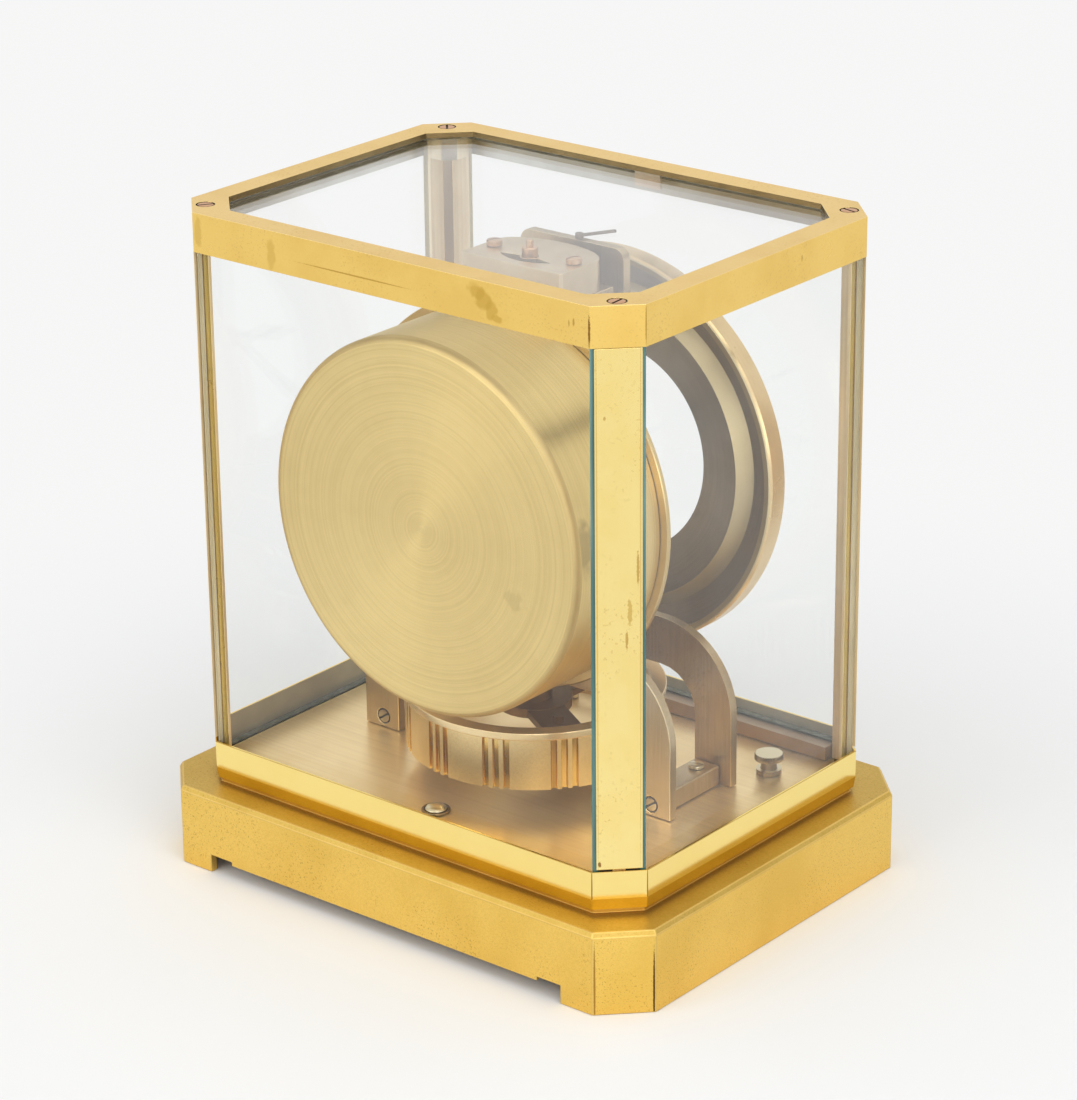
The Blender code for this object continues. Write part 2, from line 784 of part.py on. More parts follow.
# Front door and its sill
sill_half_x = rear_pane_half_x - post_lap - seat_gap
front_sill = finish("front_sill", box(
    (-sill_half_x, sill_half_x), (-rear_pane_y, -sill_inner_y),
    (leg_foot_z, sill_top_z)), "copper_screw")
door_low_z = sill_top_z + seat_gap
front_glass = pane("front_glass", rear_pane_half_x, rear_pane_y, door_low_z, front_pane_top_z,
                   270.0, (0.0, -rear_pane_y, door_low_z))
catch_rear_y = pane_thickness - rear_pane_y + seat_gap + catch_thickness
door_catch = finish("door_catch", box(
    (-catch_half_width, catch_half_width), (catch_rear_y - catch_thickness, catch_rear_y),
    (catch_low_z, top_pane_high_z)), "brass_satin")

# Floor fittings
floor_seat = floor_top_z + seat_gap
floor_screw = finish("floor_screw", lathe([
    (0.0, floor_seat), (floor_ring_radius, floor_seat),
    (floor_ring_radius, floor_seat + floor_ring_height),
    (floor_dome_radius, floor_seat + floor_ring_height),
    (floor_dome_radius * math.cos(math.pi / 4),
     floor_seat + floor_ring_height + floor_dome_height * math.sin(math.pi / 4)),
    (0.0, floor_seat + floor_ring_height + floor_dome_height),
], (0.0, floor_screw_y, 0.0), "Z", small_sides), "brass_pale")
level_inner = level_radius - level_wall
level_cup = finish("level_cup", lathe([
    (0.0, floor_seat), (level_radius, floor_seat), (level_radius, floor_seat + level_height),
    (level_inner, floor_seat + level_height), (level_inner, floor_seat + level_floor),
    (0.0, floor_seat + level_floor),
], (0.0, level_y, 0.0), "Z", small_sides), "brass_polished")
level_vial = finish("level_vial", rod(
    level_inner - seat_gap, floor_seat + level_floor + seat_gap,
    floor_seat + level_height - level_wall / 2, (0.0, level_y, 0.0)), "clear_glass")


def lever_lock():
    """Transit lock: a low turning arm with an upright handle."""
    arm_low = floor_seat + lock_post_height - lock_arm_thickness
    arm_high = floor_seat + lock_post_height
    spot = (lock_x, lock_y, 0.0)
    made = finish("lock_lever", rod(lock_post_radius, floor_seat, arm_high, spot), "brass_satin",
                  spot)
    join(made, box((lock_x - lock_arm_length, lock_x),
                   (lock_y - lock_arm_half_width, lock_y + lock_arm_half_width),
                   (arm_low + lock_arm_edge, arm_high - lock_arm_edge)))
    grip = (lock_x - lock_arm_length, lock_y, 0.0)
    join(made, rod(lock_handle_radius, arm_low, floor_seat + lock_handle_length, grip))
    return made


lock_lever = lever_lock()

for side, x in (("left", thumb_x), ("right", -thumb_x)):
    spot = (x, thumb_y, 0.0)
    disc_low = thumb_top_z - thumb_thickness
    pad_top = foot_pad_lift + foot_pad_thickness
    finish("level_knob_" + side, lathe([
        (0.0, thumb_top_z), (thumb_radius - thumb_edge, thumb_top_z),
        (thumb_radius, thumb_top_z - thumb_edge), (thumb_radius, disc_low),
        (thumb_neck_radius, disc_low), (thumb_neck_radius, floor_seat + thumb_flange_height),
        (thumb_flange_radius, floor_seat + thumb_flange_height), (thumb_flange_radius, floor_seat),
        (thumb_stem_radius, floor_seat), (thumb_stem_radius, thumb_stem_low_z),
        (0.0, thumb_stem_low_z),
    ], spot, "Z", small_sides), "brass_pale", spot)
    finish("foot_pad_" + side, lathe([
        (0.0, foot_pad_lift), (foot_pad_radius, foot_pad_lift), (foot_pad_radius, pad_top),
        (foot_pad_neck_radius, pad_top), (foot_pad_neck_radius, thumb_stem_low_z - seat_gap),
        (0.0, thumb_stem_low_z - seat_gap),
    ], spot, "Z", small_sides), "brass_satin", spot)


def arch_outline(mast_top_z, mast_corner):
    """Outline of a plate with two legs, an arch between them and a mast above."""
    shoulder = leg_outer_x - shoulder_x
    crown = leg_inner_x - shoulder_x
    bar_top = shoulder_z + shoulder
    right = [(leg_outer_x, leg_foot_z)]
    right += arc((shoulder_x, shoulder_z), shoulder, 0, 90, corner_steps * 2)
    right += arc((mast_half_x + mast_fillet, bar_top + mast_fillet), mast_fillet, 270, 180)
    if mast_corner:
        right += arc((mast_half_x - mast_corner, mast_top_z - mast_corner), mast_corner, 0, 90)
    else:
        right += [(mast_half_x, mast_top_z)]
    outer = right + [(-x, z) for x, z in reversed(right)]
    inner = [(leg_inner_x, leg_foot_z)] + arc((shoulder_x, arch_z), crown, 0, 90)
    return outer + [(-x, z) for x, z in inner] + list(reversed(inner))


rear_frame = finish("rear_frame", prism(arch_outline(shelf_top_z, 0.0), rear_plate_front_y,
                                        rear_plate_y, "Y"), "brass_brown")
join(rear_frame, box((-shelf_half_x, shelf_half_x), (shelf_front_y, rear_plate_y - shelf_setback),
                     (shelf_top_z - plate_thickness, shelf_top_z)))
cut(rear_frame, rod(wire_hole_radius, shelf_top_z - plate_thickness - cut_overrun,
                    shelf_top_z + cut_overrun, (0.0, wire_y, 0.0)))
foot_hole = foot_shank_radius + seat_gap
foot_seat_y = rear_plate_y - foot_head_height - seat_gap
foot_sink = foot_head_radius + seat_gap
cut(rear_frame, merge(*[
    lathe([(0.0, rear_plate_front_y - cut_overrun), (foot_hole, rear_plate_front_y - cut_overrun),
           (foot_hole, foot_seat_y), (foot_sink, foot_seat_y),
           (foot_sink, rear_plate_y + cut_overrun), (0.0, rear_plate_y + cut_overrun)],
          (x, 0.0, foot_screw_z), "Y", small_sides) for x in (-foot_screw_x, foot_screw_x)]))

front_frame = finish("front_frame", prism(arch_outline(front_mast_top_z, mast_corner_radius),
                                          front_plate_front_y, front_plate_y, "Y"), "brass_brown")
pivot_hole = pivot_radius + run_gap
cut(front_frame, merge(
    rod(centre_arbor_radius + run_gap, front_plate_front_y - cut_overrun,
        front_plate_y + cut_overrun, (0.0, 0.0, drum_z), "Y"),
    *[rod(pivot_hole, front_plate_front_y - cut_overrun, front_plate_y + cut_overrun,
          (0.0, 0.0, z), "Y") for z in (third_z, escape_z, pallet_z, minute_z)]))

stretcher_y = (front_plate_y + seat_gap, rear_plate_front_y - seat_gap)
for side, sign in (("left", 1), ("right", -1)):
    span_x = sorted((sign * stretcher_inner_x, sign * stretcher_outer_x))
    bar_bm = box(span_x, stretcher_y, (leg_foot_z, stretcher_top_z))
    bmesh.ops.bevel(bar_bm, geom=bar_bm.edges[:], offset=stretcher_bevel, segments=1,
                    affect="EDGES", profile=0.5, material=-1)
    bar = finish("stretcher_" + side, bar_bm, "brass_brown", sharp=20.0)
    foot_spot = (sign * foot_screw_x, rear_plate_y, foot_screw_z)
    hole_end = rear_plate_y - foot_head_height - foot_shank_length - seat_gap
    cut(bar, rod(foot_hole, hole_end, rear_plate_y, foot_spot, "Y"))
    slotted_screw("foot_screw_" + side, foot_spot, "Y", foot_head_radius, foot_head_height,
                  foot_shank_radius, foot_shank_length, "brass_pale")
    top_spot = (sign * (stretcher_inner_x + stretcher_outer_x) / 2, stretcher_screw_y,
                stretcher_top_z + seat_gap + foot_head_height)
    bar_depth = (stretcher_top_z - leg_foot_z) / 2
    cut(bar, rod(foot_hole, stretcher_top_z - bar_depth, stretcher_top_z + cut_overrun, top_spot))
    slotted_screw("stretcher_screw_" + side, top_spot, "Z", foot_head_radius, foot_head_height,
                  foot_shank_radius, bar_depth - seat_gap, "brass_pale")

# Suspension block, clamp, wire and regulator
front_depth = block_shoulder_y - block_front_y
block_outline = [(-block_half_x, block_rear_y - block_edge), (-block_half_x, block_shoulder_y)]
for i in range(1, corner_steps * 2):
    angle = math.pi + math.pi * i / (corner_steps * 2)
    block_outline.append((block_half_x * math.cos(angle),
                          block_shoulder_y + front_depth * math.sin(angle)))
block_outline += [(block_half_x, block_shoulder_y), (block_half_x, block_rear_y - block_edge),
                  (block_half_x - block_edge, block_rear_y),
                  (block_edge - block_half_x, block_rear_y)]
suspension_block = finish("suspension_block", prism(block_outline, block_low_z, block_top_z),
                          "brass_satin", (0.0, wire_y, 0.0), sharp=30.0)
rise = crescent_rear_y - crescent_tip_y
bow = (crescent_half_x ** 2 + rise ** 2) / (2 * rise)
sweep = math.degrees(math.asin(crescent_half_x / bow))
boss_radius = clamp_radius + seat_gap + crescent_boss_wall
crescent = arc((0.0, crescent_rear_y - bow), bow, 90 - sweep, 90 + sweep)
crescent += arc((0.0, wire_y), boss_radius, 165, 15)
cut(suspension_block, prism(crescent, block_top_z - crescent_depth, block_top_z + cut_overrun))
cut(suspension_block, rod(clamp_radius + seat_gap, clamp_foot_z, block_top_z + cut_overrun,
                          (0.0, wire_y, 0.0)))
cut(suspension_block, rod(wire_hole_radius, block_low_z - cut_overrun, clamp_foot_z + cut_overrun,
                          (0.0, wire_y, 0.0)))
block_hole_depth = block_head_height * 3
cut(suspension_block, merge(*[
    rod(foot_hole, block_top_z - block_hole_depth, block_top_z + cut_overrun,
        (x, block_screw_y, 0.0)) for x in (-block_screw_x, block_screw_x)]))
for side, x in (("left", block_screw_x), ("right", -block_screw_x)):
    slotted_screw("block_screw_" + side,
                  (x, block_screw_y, block_top_z + seat_gap + block_head_height), "Z",
                  block_head_radius, block_head_height, foot_shank_radius,
                  block_hole_depth - seat_gap, "brass_pale")

suspension_clamp = finish("suspension_clamp", lathe([
    (0.0, clamp_top_z), (clamp_cap_radius, clamp_top_z), (clamp_cap_radius, clamp_step_z),
    (clamp_radius, clamp_step_z), (clamp_radius, clamp_foot_z + seat_gap),
    (0.0, clamp_foot_z + seat_gap),
], (0.0, wire_y, 0.0), "Z", small_sides), "brass_pale", (0.0, wire_y, 0.0))
cut(suspension_clamp, rod(wire_radius + seat_gap, clamp_foot_z - cut_overrun,
                          wire_top_z + seat_gap, (0.0, wire_y, 0.0), sides=corner_steps * 2))
suspension_wire = finish("suspension_wire", rod(
    wire_radius, staff_top_z + seat_gap, wire_top_z, (0.0, wire_y, 0.0), sides=corner_steps + 2),
    "steel", (0.0, wire_y, 0.0))

hub_y = (front_plate_y + front_plate_front_y) / 2
hub_low = front_mast_top_z + seat_gap
hub_spot = (regulator_hub_x, hub_y, 0.0)
regulator_lever = finish("regulator_lever", rod(regulator_hub_radius, hub_low,
                                                hub_low + regulator_hub_height, hub_spot),
                         "steel", hub_spot)


def bar_outline(start, end, half):
    """Rectangle of a given half width about the line between two points."""
    line = Vector((end[0] - start[0], end[1] - start[1])).normalized()
    side = Vector((-line.y, line.x)) * half
    return [(start[0] + side.x, start[1] + side.y), (start[0] - side.x, start[1] - side.y),
            (end[0] - side.x, end[1] - side.y), (end[0] + side.x, end[1] + side.y)]


lever_rise = (regulator_hub_height - regulator_thickness) / 2
lever_outline = bar_outline((regulator_hub_x, hub_y), (regulator_tip_x, regulator_tip_y),
                            regulator_half_width)
join(regulator_lever, prism(lever_outline, hub_low + lever_rise,
                            hub_low + lever_rise + regulator_thickness))


# Torsion balance
def fluted_outline():
    """Outline of the balance ring with its groups of upright flutes."""
    points = []
    group = math.tau / flute_groups
    spread = flute_pitch_angle * (flutes_in_group - 1) / 2
    plain = group - 2 * spread - flute_angle
    for k in range(flute_groups):
        middle = flute_phase + group * k
        for f in range(flutes_in_group):
            at = middle - spread + flute_pitch_angle * f
            for share, sunk in ((-1, 0), (-flute_floor_share, 1), (flute_floor_share, 1), (1, 0)):
                points.append((balance_radius - flute_depth * sunk, at + flute_angle / 2 * share))
        start = middle + spread + flute_angle / 2
        points += [(balance_radius, start + plain * i / 3) for i in (1, 2)]
    return [(radius * math.cos(at), wire_y + radius * math.sin(at)) for radius, at in points]


balance_spot = (0.0, wire_y, 0.0)
balance_ring = finish("balance_ring", prism(fluted_outline(), balance_low_z,
                                            balance_rim_z + flute_depth), "brass_satin",
                      balance_spot, sharp=25.0)
join(balance_ring, rod(balance_rim_radius, balance_rim_z, balance_top_z, balance_spot,
                       sides=large_sides))
cut(balance_ring, rod(balance_bore, balance_low_z - cut_overrun, balance_top_z + cut_overrun,
                      balance_spot, sides=large_sides))

balance_hub = finish("balance_hub", lathe([
    (0.0, staff_low_z), (staff_radius, staff_low_z), (staff_radius, spoke_low_z - roller_thickness),
    (hub_radius, spoke_low_z - roller_thickness), (hub_radius, hub_high_z),
    (staff_radius, hub_high_z), (staff_radius, staff_top_z - roller_thickness),
    (roller_radius, staff_top_z - roller_thickness), (roller_radius, staff_top_z),
    (0.0, staff_top_z),
], (0.0, wire_y, 0.0), "Z", middle_sides), "brass_brown", (0.0, wire_y, 0.0))
spoke_reach = math.sqrt((balance_bore * math.cos(math.pi / large_sides) - seat_gap) ** 2
                        - spoke_half_width ** 2)
disc_margin = staff_radius / 4
join(balance_hub, rod(spoke_plate_radius, spoke_low_z - disc_margin, spoke_high_z + disc_margin,
                      balance_spot, sides=middle_sides))
for k in range(spoke_count):
    angle = spoke_angle + math.tau * k / spoke_count
    arm = [(hub_radius, -spoke_half_width), (spoke_reach, -spoke_half_width),
           (spoke_reach, spoke_half_width), (hub_radius, spoke_half_width)]
    join(balance_hub, prism(turned(arm, angle, (0.0, wire_y)), spoke_low_z, spoke_high_z))
    boss = turned([(spoke_boss_arm, 0.0)], angle, (0.0, wire_y))[0]
    join(balance_hub, rod(spoke_boss_radius, spoke_high_z - disc_margin,
                          spoke_high_z + spoke_boss_height, (*boss, 0.0)))
join(balance_hub, rod(pin_radius, staff_top_z - roller_thickness / 2, pin_top_z,
                      (0.0, wire_y - pin_arm, 0.0), sides=corner_steps + 2))

# Vapour drum
drum_open_y = cover_front_y + cover_thickness + seat_gap
drum_inner = drum_radius - drum_wall
drum_profile = [(0.0, drum_rear_y)]
drum_profile += [(drum_radius - drum_edge + drum_edge * math.sin(a),
                  drum_rear_y - drum_edge + drum_edge * math.cos(a))
                 for a in (0.0, math.pi / 8, math.pi / 4, 3 * math.pi / 8, math.pi / 2)]
drum_profile += [(drum_radius, drum_open_y), (drum_inner, drum_open_y),
                 (drum_inner, drum_rear_y - drum_edge), (drum_radius - drum_edge,
                                                         drum_rear_y - drum_wall),
                 (0.0, drum_rear_y - drum_wall)]
drum_spot = (0.0, 0.0, drum_z)
drum_shell = finish("drum_shell", lathe(drum_profile, drum_spot, "Y", large_sides), "brass_pale",
                    drum_spot, sharp=30.0)
drum_cover = finish("drum_cover", lathe([
    (cover_bore, cover_front_y), (cover_radius, cover_front_y),
    (cover_radius, cover_front_y + cover_thickness), (cover_bore, cover_front_y + cover_thickness),
], drum_spot, "Y", large_sides, hollow=True), "brass_pale", drum_spot)

bellows_rear_y = drum_rear_y - drum_wall - seat_gap
fold = (bellows_rear_y - bellows_front_y) / (2 * bellows_folds)
bellows_profile = [(0.0, bellows_front_y)]
for i in range(2 * bellows_folds + 1):
    radius = bellows_radius if i % 2 else bellows_root_radius
    bellows_profile.append((radius, bellows_front_y + fold * i))
bellows_profile.append((0.0, bellows_rear_y))
bellows = finish("bellows", lathe(bellows_profile, drum_spot, "Y", middle_sides), "brass_pale",
                 drum_spot)
cap_rear_y = bellows_front_y - seat_gap
cap_front_y = cap_rear_y - bellows_plate_thickness
bellows_plate = finish("bellows_plate", lathe([
    (0.0, cap_front_y), (bellows_plate_radius, cap_front_y), (bellows_plate_radius, cap_rear_y),
    (0.0, cap_rear_y)], drum_spot, "Y", middle_sides), "brass_pale", drum_spot)

spring_low_y = cover_front_y + cover_thickness + seat_gap + spring_wire_radius
spring_high_y = cap_front_y - seat_gap - spring_wire_radius
curl_points = 10
coil_points = [Vector((spring_radius * math.cos(math.tau * i / curl_points),
                       spring_low_y + (spring_high_y - spring_low_y) * i
                       / (spring_turns * curl_points),
                       drum_z + spring_radius * math.sin(math.tau * i / curl_points)))
               for i in range(spring_turns * curl_points + 1)]
coil_curve = bpy.data.curves.new("counter_spring_path", "CURVE")
coil_curve.dimensions = "3D"
coil_curve.bevel_depth = spring_wire_radius
coil_curve.bevel_resolution = 1
coil_curve.use_fill_caps = True
coil_curve.resolution_u = 1
coil_curve.render_resolution_u = 1
spline = coil_curve.splines.new("POLY")
spline.points.add(len(coil_points) - 1)
for point, place in zip(spline.points, coil_points):
    point.co = (place.x, place.y - spring_low_y, place.z - drum_z, 1.0)
counter_spring = bpy.data.objects.new("counter_spring", coil_curve)
counter_spring.location = (0.0, spring_low_y, drum_z)
counter_spring.parent = case_empty
counter_spring.data.materials.append(material("counter_spring_finish", *COLOURS["steel"]))
bpy.context.scene.collection.objects.link(counter_spring)
least = min((a - b).length for i, a in enumerate(coil_points)
            for b in coil_points[i + curl_points // 2:]) - 2 * spring_wire_radius
print("counter_spring least gap to itself, mm: %.2f" % (least * 1000))

# Dial
sheet = dial_sheet
dial_ring = finish("dial_ring", lathe([
    (dial_bore, dial_bore_y), (dial_cone_radius, dial_crown_y), (dial_ring_outer, dial_outer_y),
    (dial_ring_outer, dial_outer_y - sheet), (dial_cone_radius - sheet, dial_crown_y - sheet),
    (dial_bore, dial_bore_y - sheet),
], drum_spot, "Y", large_sides, hollow=True), "enamel", drum_spot, sharp=30.0)
dial_middle = (dial_bore + dial_cone_radius) / 2
pillar_rise = math.sqrt(dial_middle ** 2 - dial_pillar_x ** 2)
pillar_end = (dial_bore_y + dial_crown_y) / 2 - sheet / 2
for side in (-1, 1):
    for level in (-1, 1):
        join(dial_ring, rod(dial_pillar_radius, pillar_end, front_plate_front_y - seat_gap,
                            (side * dial_pillar_x, 0.0, drum_z + level * pillar_rise), "Y"))
hoop_inner = hoop_back_radius - hoop_wall
dial_bezel = finish("dial_bezel", lathe([
    (dial_ring_outer + seat_gap, hoop_web_y), (hoop_inner, hoop_web_y), (hoop_inner, hoop_back_y),
    (hoop_back_radius, hoop_back_y), (hoop_radius, hoop_back_y - hoop_wall / 2),
    (hoop_radius, hoop_front_y), (hoop_inner, hoop_front_y),
    (hoop_inner, hoop_web_y - hoop_web_thickness),
    (dial_ring_outer + seat_gap, hoop_web_y - hoop_web_thickness),
], drum_spot, "Y", large_sides, hollow=True), "brass_satin", drum_spot, sharp=30.0)


# Going train
def gear_outline(teeth, pitch_radius, phase):
    """Outline of a clock wheel with straight-sided teeth; the phase is a tooth's angle."""
    step = math.tau / teeth
    module = 2 * pitch_radius / teeth
    tip = pitch_radius + addendum_share * module
    root = pitch_radius - dedendum_share * module
    points = []
    for k in range(teeth):
        at = phase + step * k
        for radius, share in ((root, -tooth_root_share), (tip, -tooth_tip_share),
                              (tip, tooth_tip_share), (root, tooth_root_share)):
            angle = at + step * share / 2
            points.append((radius * math.cos(angle), radius * math.sin(angle)))
    return points


def wheel_bm(outline, z, low, high):
    """Toothed disc across the Y axis at a height."""
    return prism([(x, z + h) for x, h in outline], low, high, "Y")


def pitch_radii(distance, driver, driven):
    """Pitch radii of a meshing pair from its distance and its counts."""
    return distance * driver / (driver + driven), distance * driven / (driver + driven)


great_pitch, third_pinion_pitch = pitch_radii(train_distance, great_teeth, third_pinion_leaves)
third_pitch, centre_pinion_pitch = pitch_radii(train_distance, third_teeth, centre_pinion_leaves)
centre_pitch, escape_pinion_pitch = pitch_radii(escape_distance, centre_teeth,
                                                escape_pinion_leaves)
cannon_pitch, minute_pitch = pitch_radii(motion_distance, cannon_teeth, minute_teeth)
minute_pinion_pitch, hour_pitch = pitch_radii(motion_distance, minute_pinion_leaves, hour_teeth)
up, down = math.pi / 2, -math.pi / 2
shaft_rear_y = bridge_rear_y - run_gap
plate_hole_front_y = front_plate_front_y + run_gap


def gap_phase(teeth, direction):
    """Phase that turns the middle of a tooth gap to a direction."""
    return direction + math.pi / teeth


barrel_spot = (0.0, 0.0, drum_z)
barrel = finish("barrel", lathe([
    (centre_arbor_radius, barrel_hub_y), (barrel_hub_radius, barrel_hub_y),
    (barrel_hub_radius, great_wheel_y + great_wheel_thickness / 2),
    (barrel_radius, great_wheel_y + great_wheel_thickness / 2), (barrel_radius, barrel_rear_y),
    (barrel_hub_radius / 2, barrel_rear_y), (barrel_hub_radius / 2, shaft_rear_y),
    (centre_arbor_radius, shaft_rear_y),
], barrel_spot, "Y", middle_sides, hollow=True), "brass_satin", barrel_spot)
great_bm = wheel_bm(gear_outline(great_teeth, great_pitch, up), drum_z, great_wheel_y,
                    great_wheel_y + great_wheel_thickness)
join(barrel, great_bm)
cut(barrel, rod(centre_arbor_radius, barrel_hub_y - cut_overrun, shaft_rear_y + cut_overrun,
                barrel_spot, "Y"))

third_spot = (0.0, 0.0, third_z)
pinion_low = great_wheel_y - pinion_overhang
pinion_high = great_wheel_y + great_wheel_thickness + pinion_overhang
intermediate_wheel = finish("intermediate_wheel", wheel_bm(
    gear_outline(third_teeth, third_pitch, down), third_z, third_wheel_y,
    third_wheel_y + wheel_thickness), "brass_satin", third_spot)
join(intermediate_wheel, wheel_bm(
    gear_outline(third_pinion_leaves, third_pinion_pitch, gap_phase(third_pinion_leaves, down)),
    third_z, pinion_low, pinion_high))
join(intermediate_wheel, lathe([
    (0.0, plate_hole_front_y), (pivot_radius, plate_hole_front_y),
    (pivot_radius, front_plate_y + run_gap), (arbor_radius, front_plate_y + run_gap),
    (arbor_radius, bridge_front_y - run_gap), (pivot_radius, bridge_front_y - run_gap),
    (pivot_radius, shaft_rear_y), (0.0, shaft_rear_y)], third_spot, "Y", small_sides))

centre_spot = (0.0, 0.0, drum_z)
centre_wheel = finish("centre_wheel", wheel_bm(
    gear_outline(centre_teeth, centre_pitch, down), drum_z, centre_wheel_y,
    centre_wheel_y + wheel_thickness), "brass_satin", centre_spot)
join(centre_wheel, wheel_bm(
    gear_outline(centre_pinion_leaves, centre_pinion_pitch, gap_phase(centre_pinion_leaves, up)),
    drum_z, third_wheel_y - pinion_overhang, third_wheel_y + wheel_thickness + pinion_overhang))
centre_tip_y = minute_hand_y - hand_thickness
join(centre_wheel, lathe([
    (0.0, centre_tip_y), (centre_arbor_radius, centre_tip_y),
    (centre_arbor_radius, barrel_hub_y - run_gap), (pivot_radius, barrel_hub_y - run_gap),
    (pivot_radius, barrel_rear_y), (0.0, barrel_rear_y)], centre_spot, "Y", small_sides))
cannon_low = minute_wheel_y - pinion_overhang
cannon_high = minute_wheel_y + motion_thickness + pinion_overhang
join(centre_wheel, wheel_bm(
    gear_outline(cannon_teeth, cannon_pitch, gap_phase(cannon_teeth, down)), drum_z, cannon_low,
    cannon_high))

escape_spot = (0.0, 0.0, escape_z)
escape_step = math.tau / escape_teeth
escape_outline = []
for k in range(escape_teeth):
    at = down - pallet_span + escape_step * (k + escape_phase_share)
    escape_outline += [
        (escape_root_radius * math.cos(at - escape_step * escape_heel_share),
         escape_root_radius * math.sin(at - escape_step * escape_heel_share)),
        (escape_radius * math.cos(at - escape_step * escape_tip_share / 2),
         escape_radius * math.sin(at - escape_step * escape_tip_share / 2)),
        (escape_radius * math.cos(at + escape_step * escape_tip_share / 2),
         escape_radius * math.sin(at + escape_step * escape_tip_share / 2)),
        (escape_root_radius * math.cos(at + escape_step * escape_tip_share),
         escape_root_radius * math.sin(at + escape_step * escape_tip_share))]
escape_wheel = finish("escape_wheel", wheel_bm(
    escape_outline, escape_z, escape_wheel_y, escape_wheel_y + escape_thickness), "brass_satin",
    escape_spot)
join(escape_wheel, wheel_bm(
    gear_outline(escape_pinion_leaves, escape_pinion_pitch, gap_phase(escape_pinion_leaves, up)),
    escape_z, centre_wheel_y - pinion_overhang, centre_wheel_y + wheel_thickness
    + pinion_overhang))
join(escape_wheel, lathe([
    (0.0, plate_hole_front_y), (pivot_radius, plate_hole_front_y),
    (pivot_radius, front_plate_y + run_gap), (arbor_radius, front_plate_y + run_gap),
    (arbor_radius, bridge_front_y - run_gap), (pivot_radius, bridge_front_y - run_gap),
    (pivot_radius, shaft_rear_y), (0.0, shaft_rear_y)], escape_spot, "Y", small_sides))

pallet_spot = (0.0, 0.0, pallet_z)
stone_x = pallet_reach * math.sin(pallet_span)
stone_z = escape_z - pallet_reach * math.cos(pallet_span)
anchor = [
    (pallet_arm_half * 2, pallet_z), (stone_x + pallet_arm_half * 2, stone_z - pallet_arm_half),
    (stone_x + pallet_stone_half, stone_z + pallet_stone_half),
    (stone_x - pallet_stone_half, stone_z + pallet_stone_half),
    (stone_x - pallet_stone_half, stone_z - pallet_arm_half), (0.0, pallet_z + pallet_arm_half * 2),
]
mirrored = [(-x, z) for x, z in reversed(anchor[:-1])]
pallet_outline = anchor + mirrored + [(0.0, pallet_z - pallet_arm_half * 2)]
pallet_lever = finish("pallet_lever", prism(pallet_outline, escape_wheel_y - pinion_overhang / 2,
                                            escape_wheel_y + escape_thickness
                                            + pinion_overhang / 2, "Y"), "steel", pallet_spot)
join(pallet_lever, lathe([
    (0.0, plate_hole_front_y), (pivot_radius, plate_hole_front_y),
    (pivot_radius, front_plate_y + run_gap), (arbor_radius, front_plate_y + run_gap),
    (arbor_radius, bridge_front_y - run_gap), (pivot_radius, bridge_front_y - run_gap),
    (pivot_radius, shaft_rear_y), (0.0, shaft_rear_y)], pallet_spot, "Y", small_sides))
fork_half = fork_slot_half + fork_tine
fork_outline = [
    (pallet_arm_half, pallet_z + pallet_arm_half), (-pallet_arm_half, pallet_z + pallet_arm_half),
    (-pallet_arm_half, fork_tip_z + fork_depth * 2), (-fork_half, fork_tip_z + fork_depth),
    (-fork_half, fork_tip_z), (-fork_slot_half, fork_tip_z),
    (-fork_slot_half, fork_tip_z + fork_depth), (fork_slot_half, fork_tip_z + fork_depth),
    (fork_slot_half, fork_tip_z), (fork_half, fork_tip_z), (fork_half, fork_tip_z + fork_depth),
    (pallet_arm_half, fork_tip_z + fork_depth * 2)]
join(pallet_lever, prism(fork_outline, fork_front_y, fork_rear_y, "Y"))

# Rear bridge of the train
bridge_outline = [
    (bridge_half_x, bridge_low_z), (bridge_half_x, bridge_shoulder_z),
    (bridge_top_half_x, bridge_high_z), (-bridge_top_half_x, bridge_high_z),
    (-bridge_half_x, bridge_shoulder_z), (-bridge_half_x, bridge_low_z)]
train_bridge = finish("train_bridge", prism(bridge_outline, bridge_front_y, bridge_rear_y, "Y"),
                      "brass_satin")
cut(train_bridge, merge(
    rod(barrel_hub_radius / 2 + run_gap, bridge_front_y - cut_overrun,
        bridge_rear_y + cut_overrun, centre_spot, "Y"),
    *[rod(pivot_hole, bridge_front_y - cut_overrun, bridge_rear_y + cut_overrun, spot, "Y")
      for spot in (third_spot, escape_spot, pallet_spot)]))
foot_x = bridge_half_x - bridge_pillar_margin
bridge_feet = [(foot_x, bridge_low_z + bridge_pillar_margin),
               (-foot_x, bridge_low_z + bridge_pillar_margin),
               (0.0, bridge_high_z - bridge_pillar_margin)]
for x, z in bridge_feet:
    join(train_bridge, rod(bridge_pillar_radius, front_plate_y + seat_gap,
                           bridge_rear_y - pivot_radius, (x, 0.0, z), "Y"))

# Motion work and hands
minute_spot = (0.0, 0.0, minute_z)
motion_wheel = finish("motion_wheel", wheel_bm(
    gear_outline(minute_teeth, minute_pitch, up), minute_z, minute_wheel_y,
    minute_wheel_y + motion_thickness), "brass_satin", minute_spot)
join(motion_wheel, wheel_bm(
    gear_outline(minute_pinion_leaves, minute_pinion_pitch, gap_phase(minute_pinion_leaves, up)),
    minute_z, hour_wheel_y - pinion_overhang, minute_wheel_y + motion_thickness / 2))
join(motion_wheel, rod(pivot_radius, hour_wheel_y - pinion_overhang - run_gap,
                       front_plate_y - run_gap, minute_spot, "Y"))

hour_spot = (0.0, 0.0, drum_z)
hour_hand = finish("hour_hand", wheel_bm(
    gear_outline(hour_teeth, hour_pitch, down), drum_z, hour_wheel_y,
    hour_wheel_y + motion_thickness), "dark_hand", hour_spot)


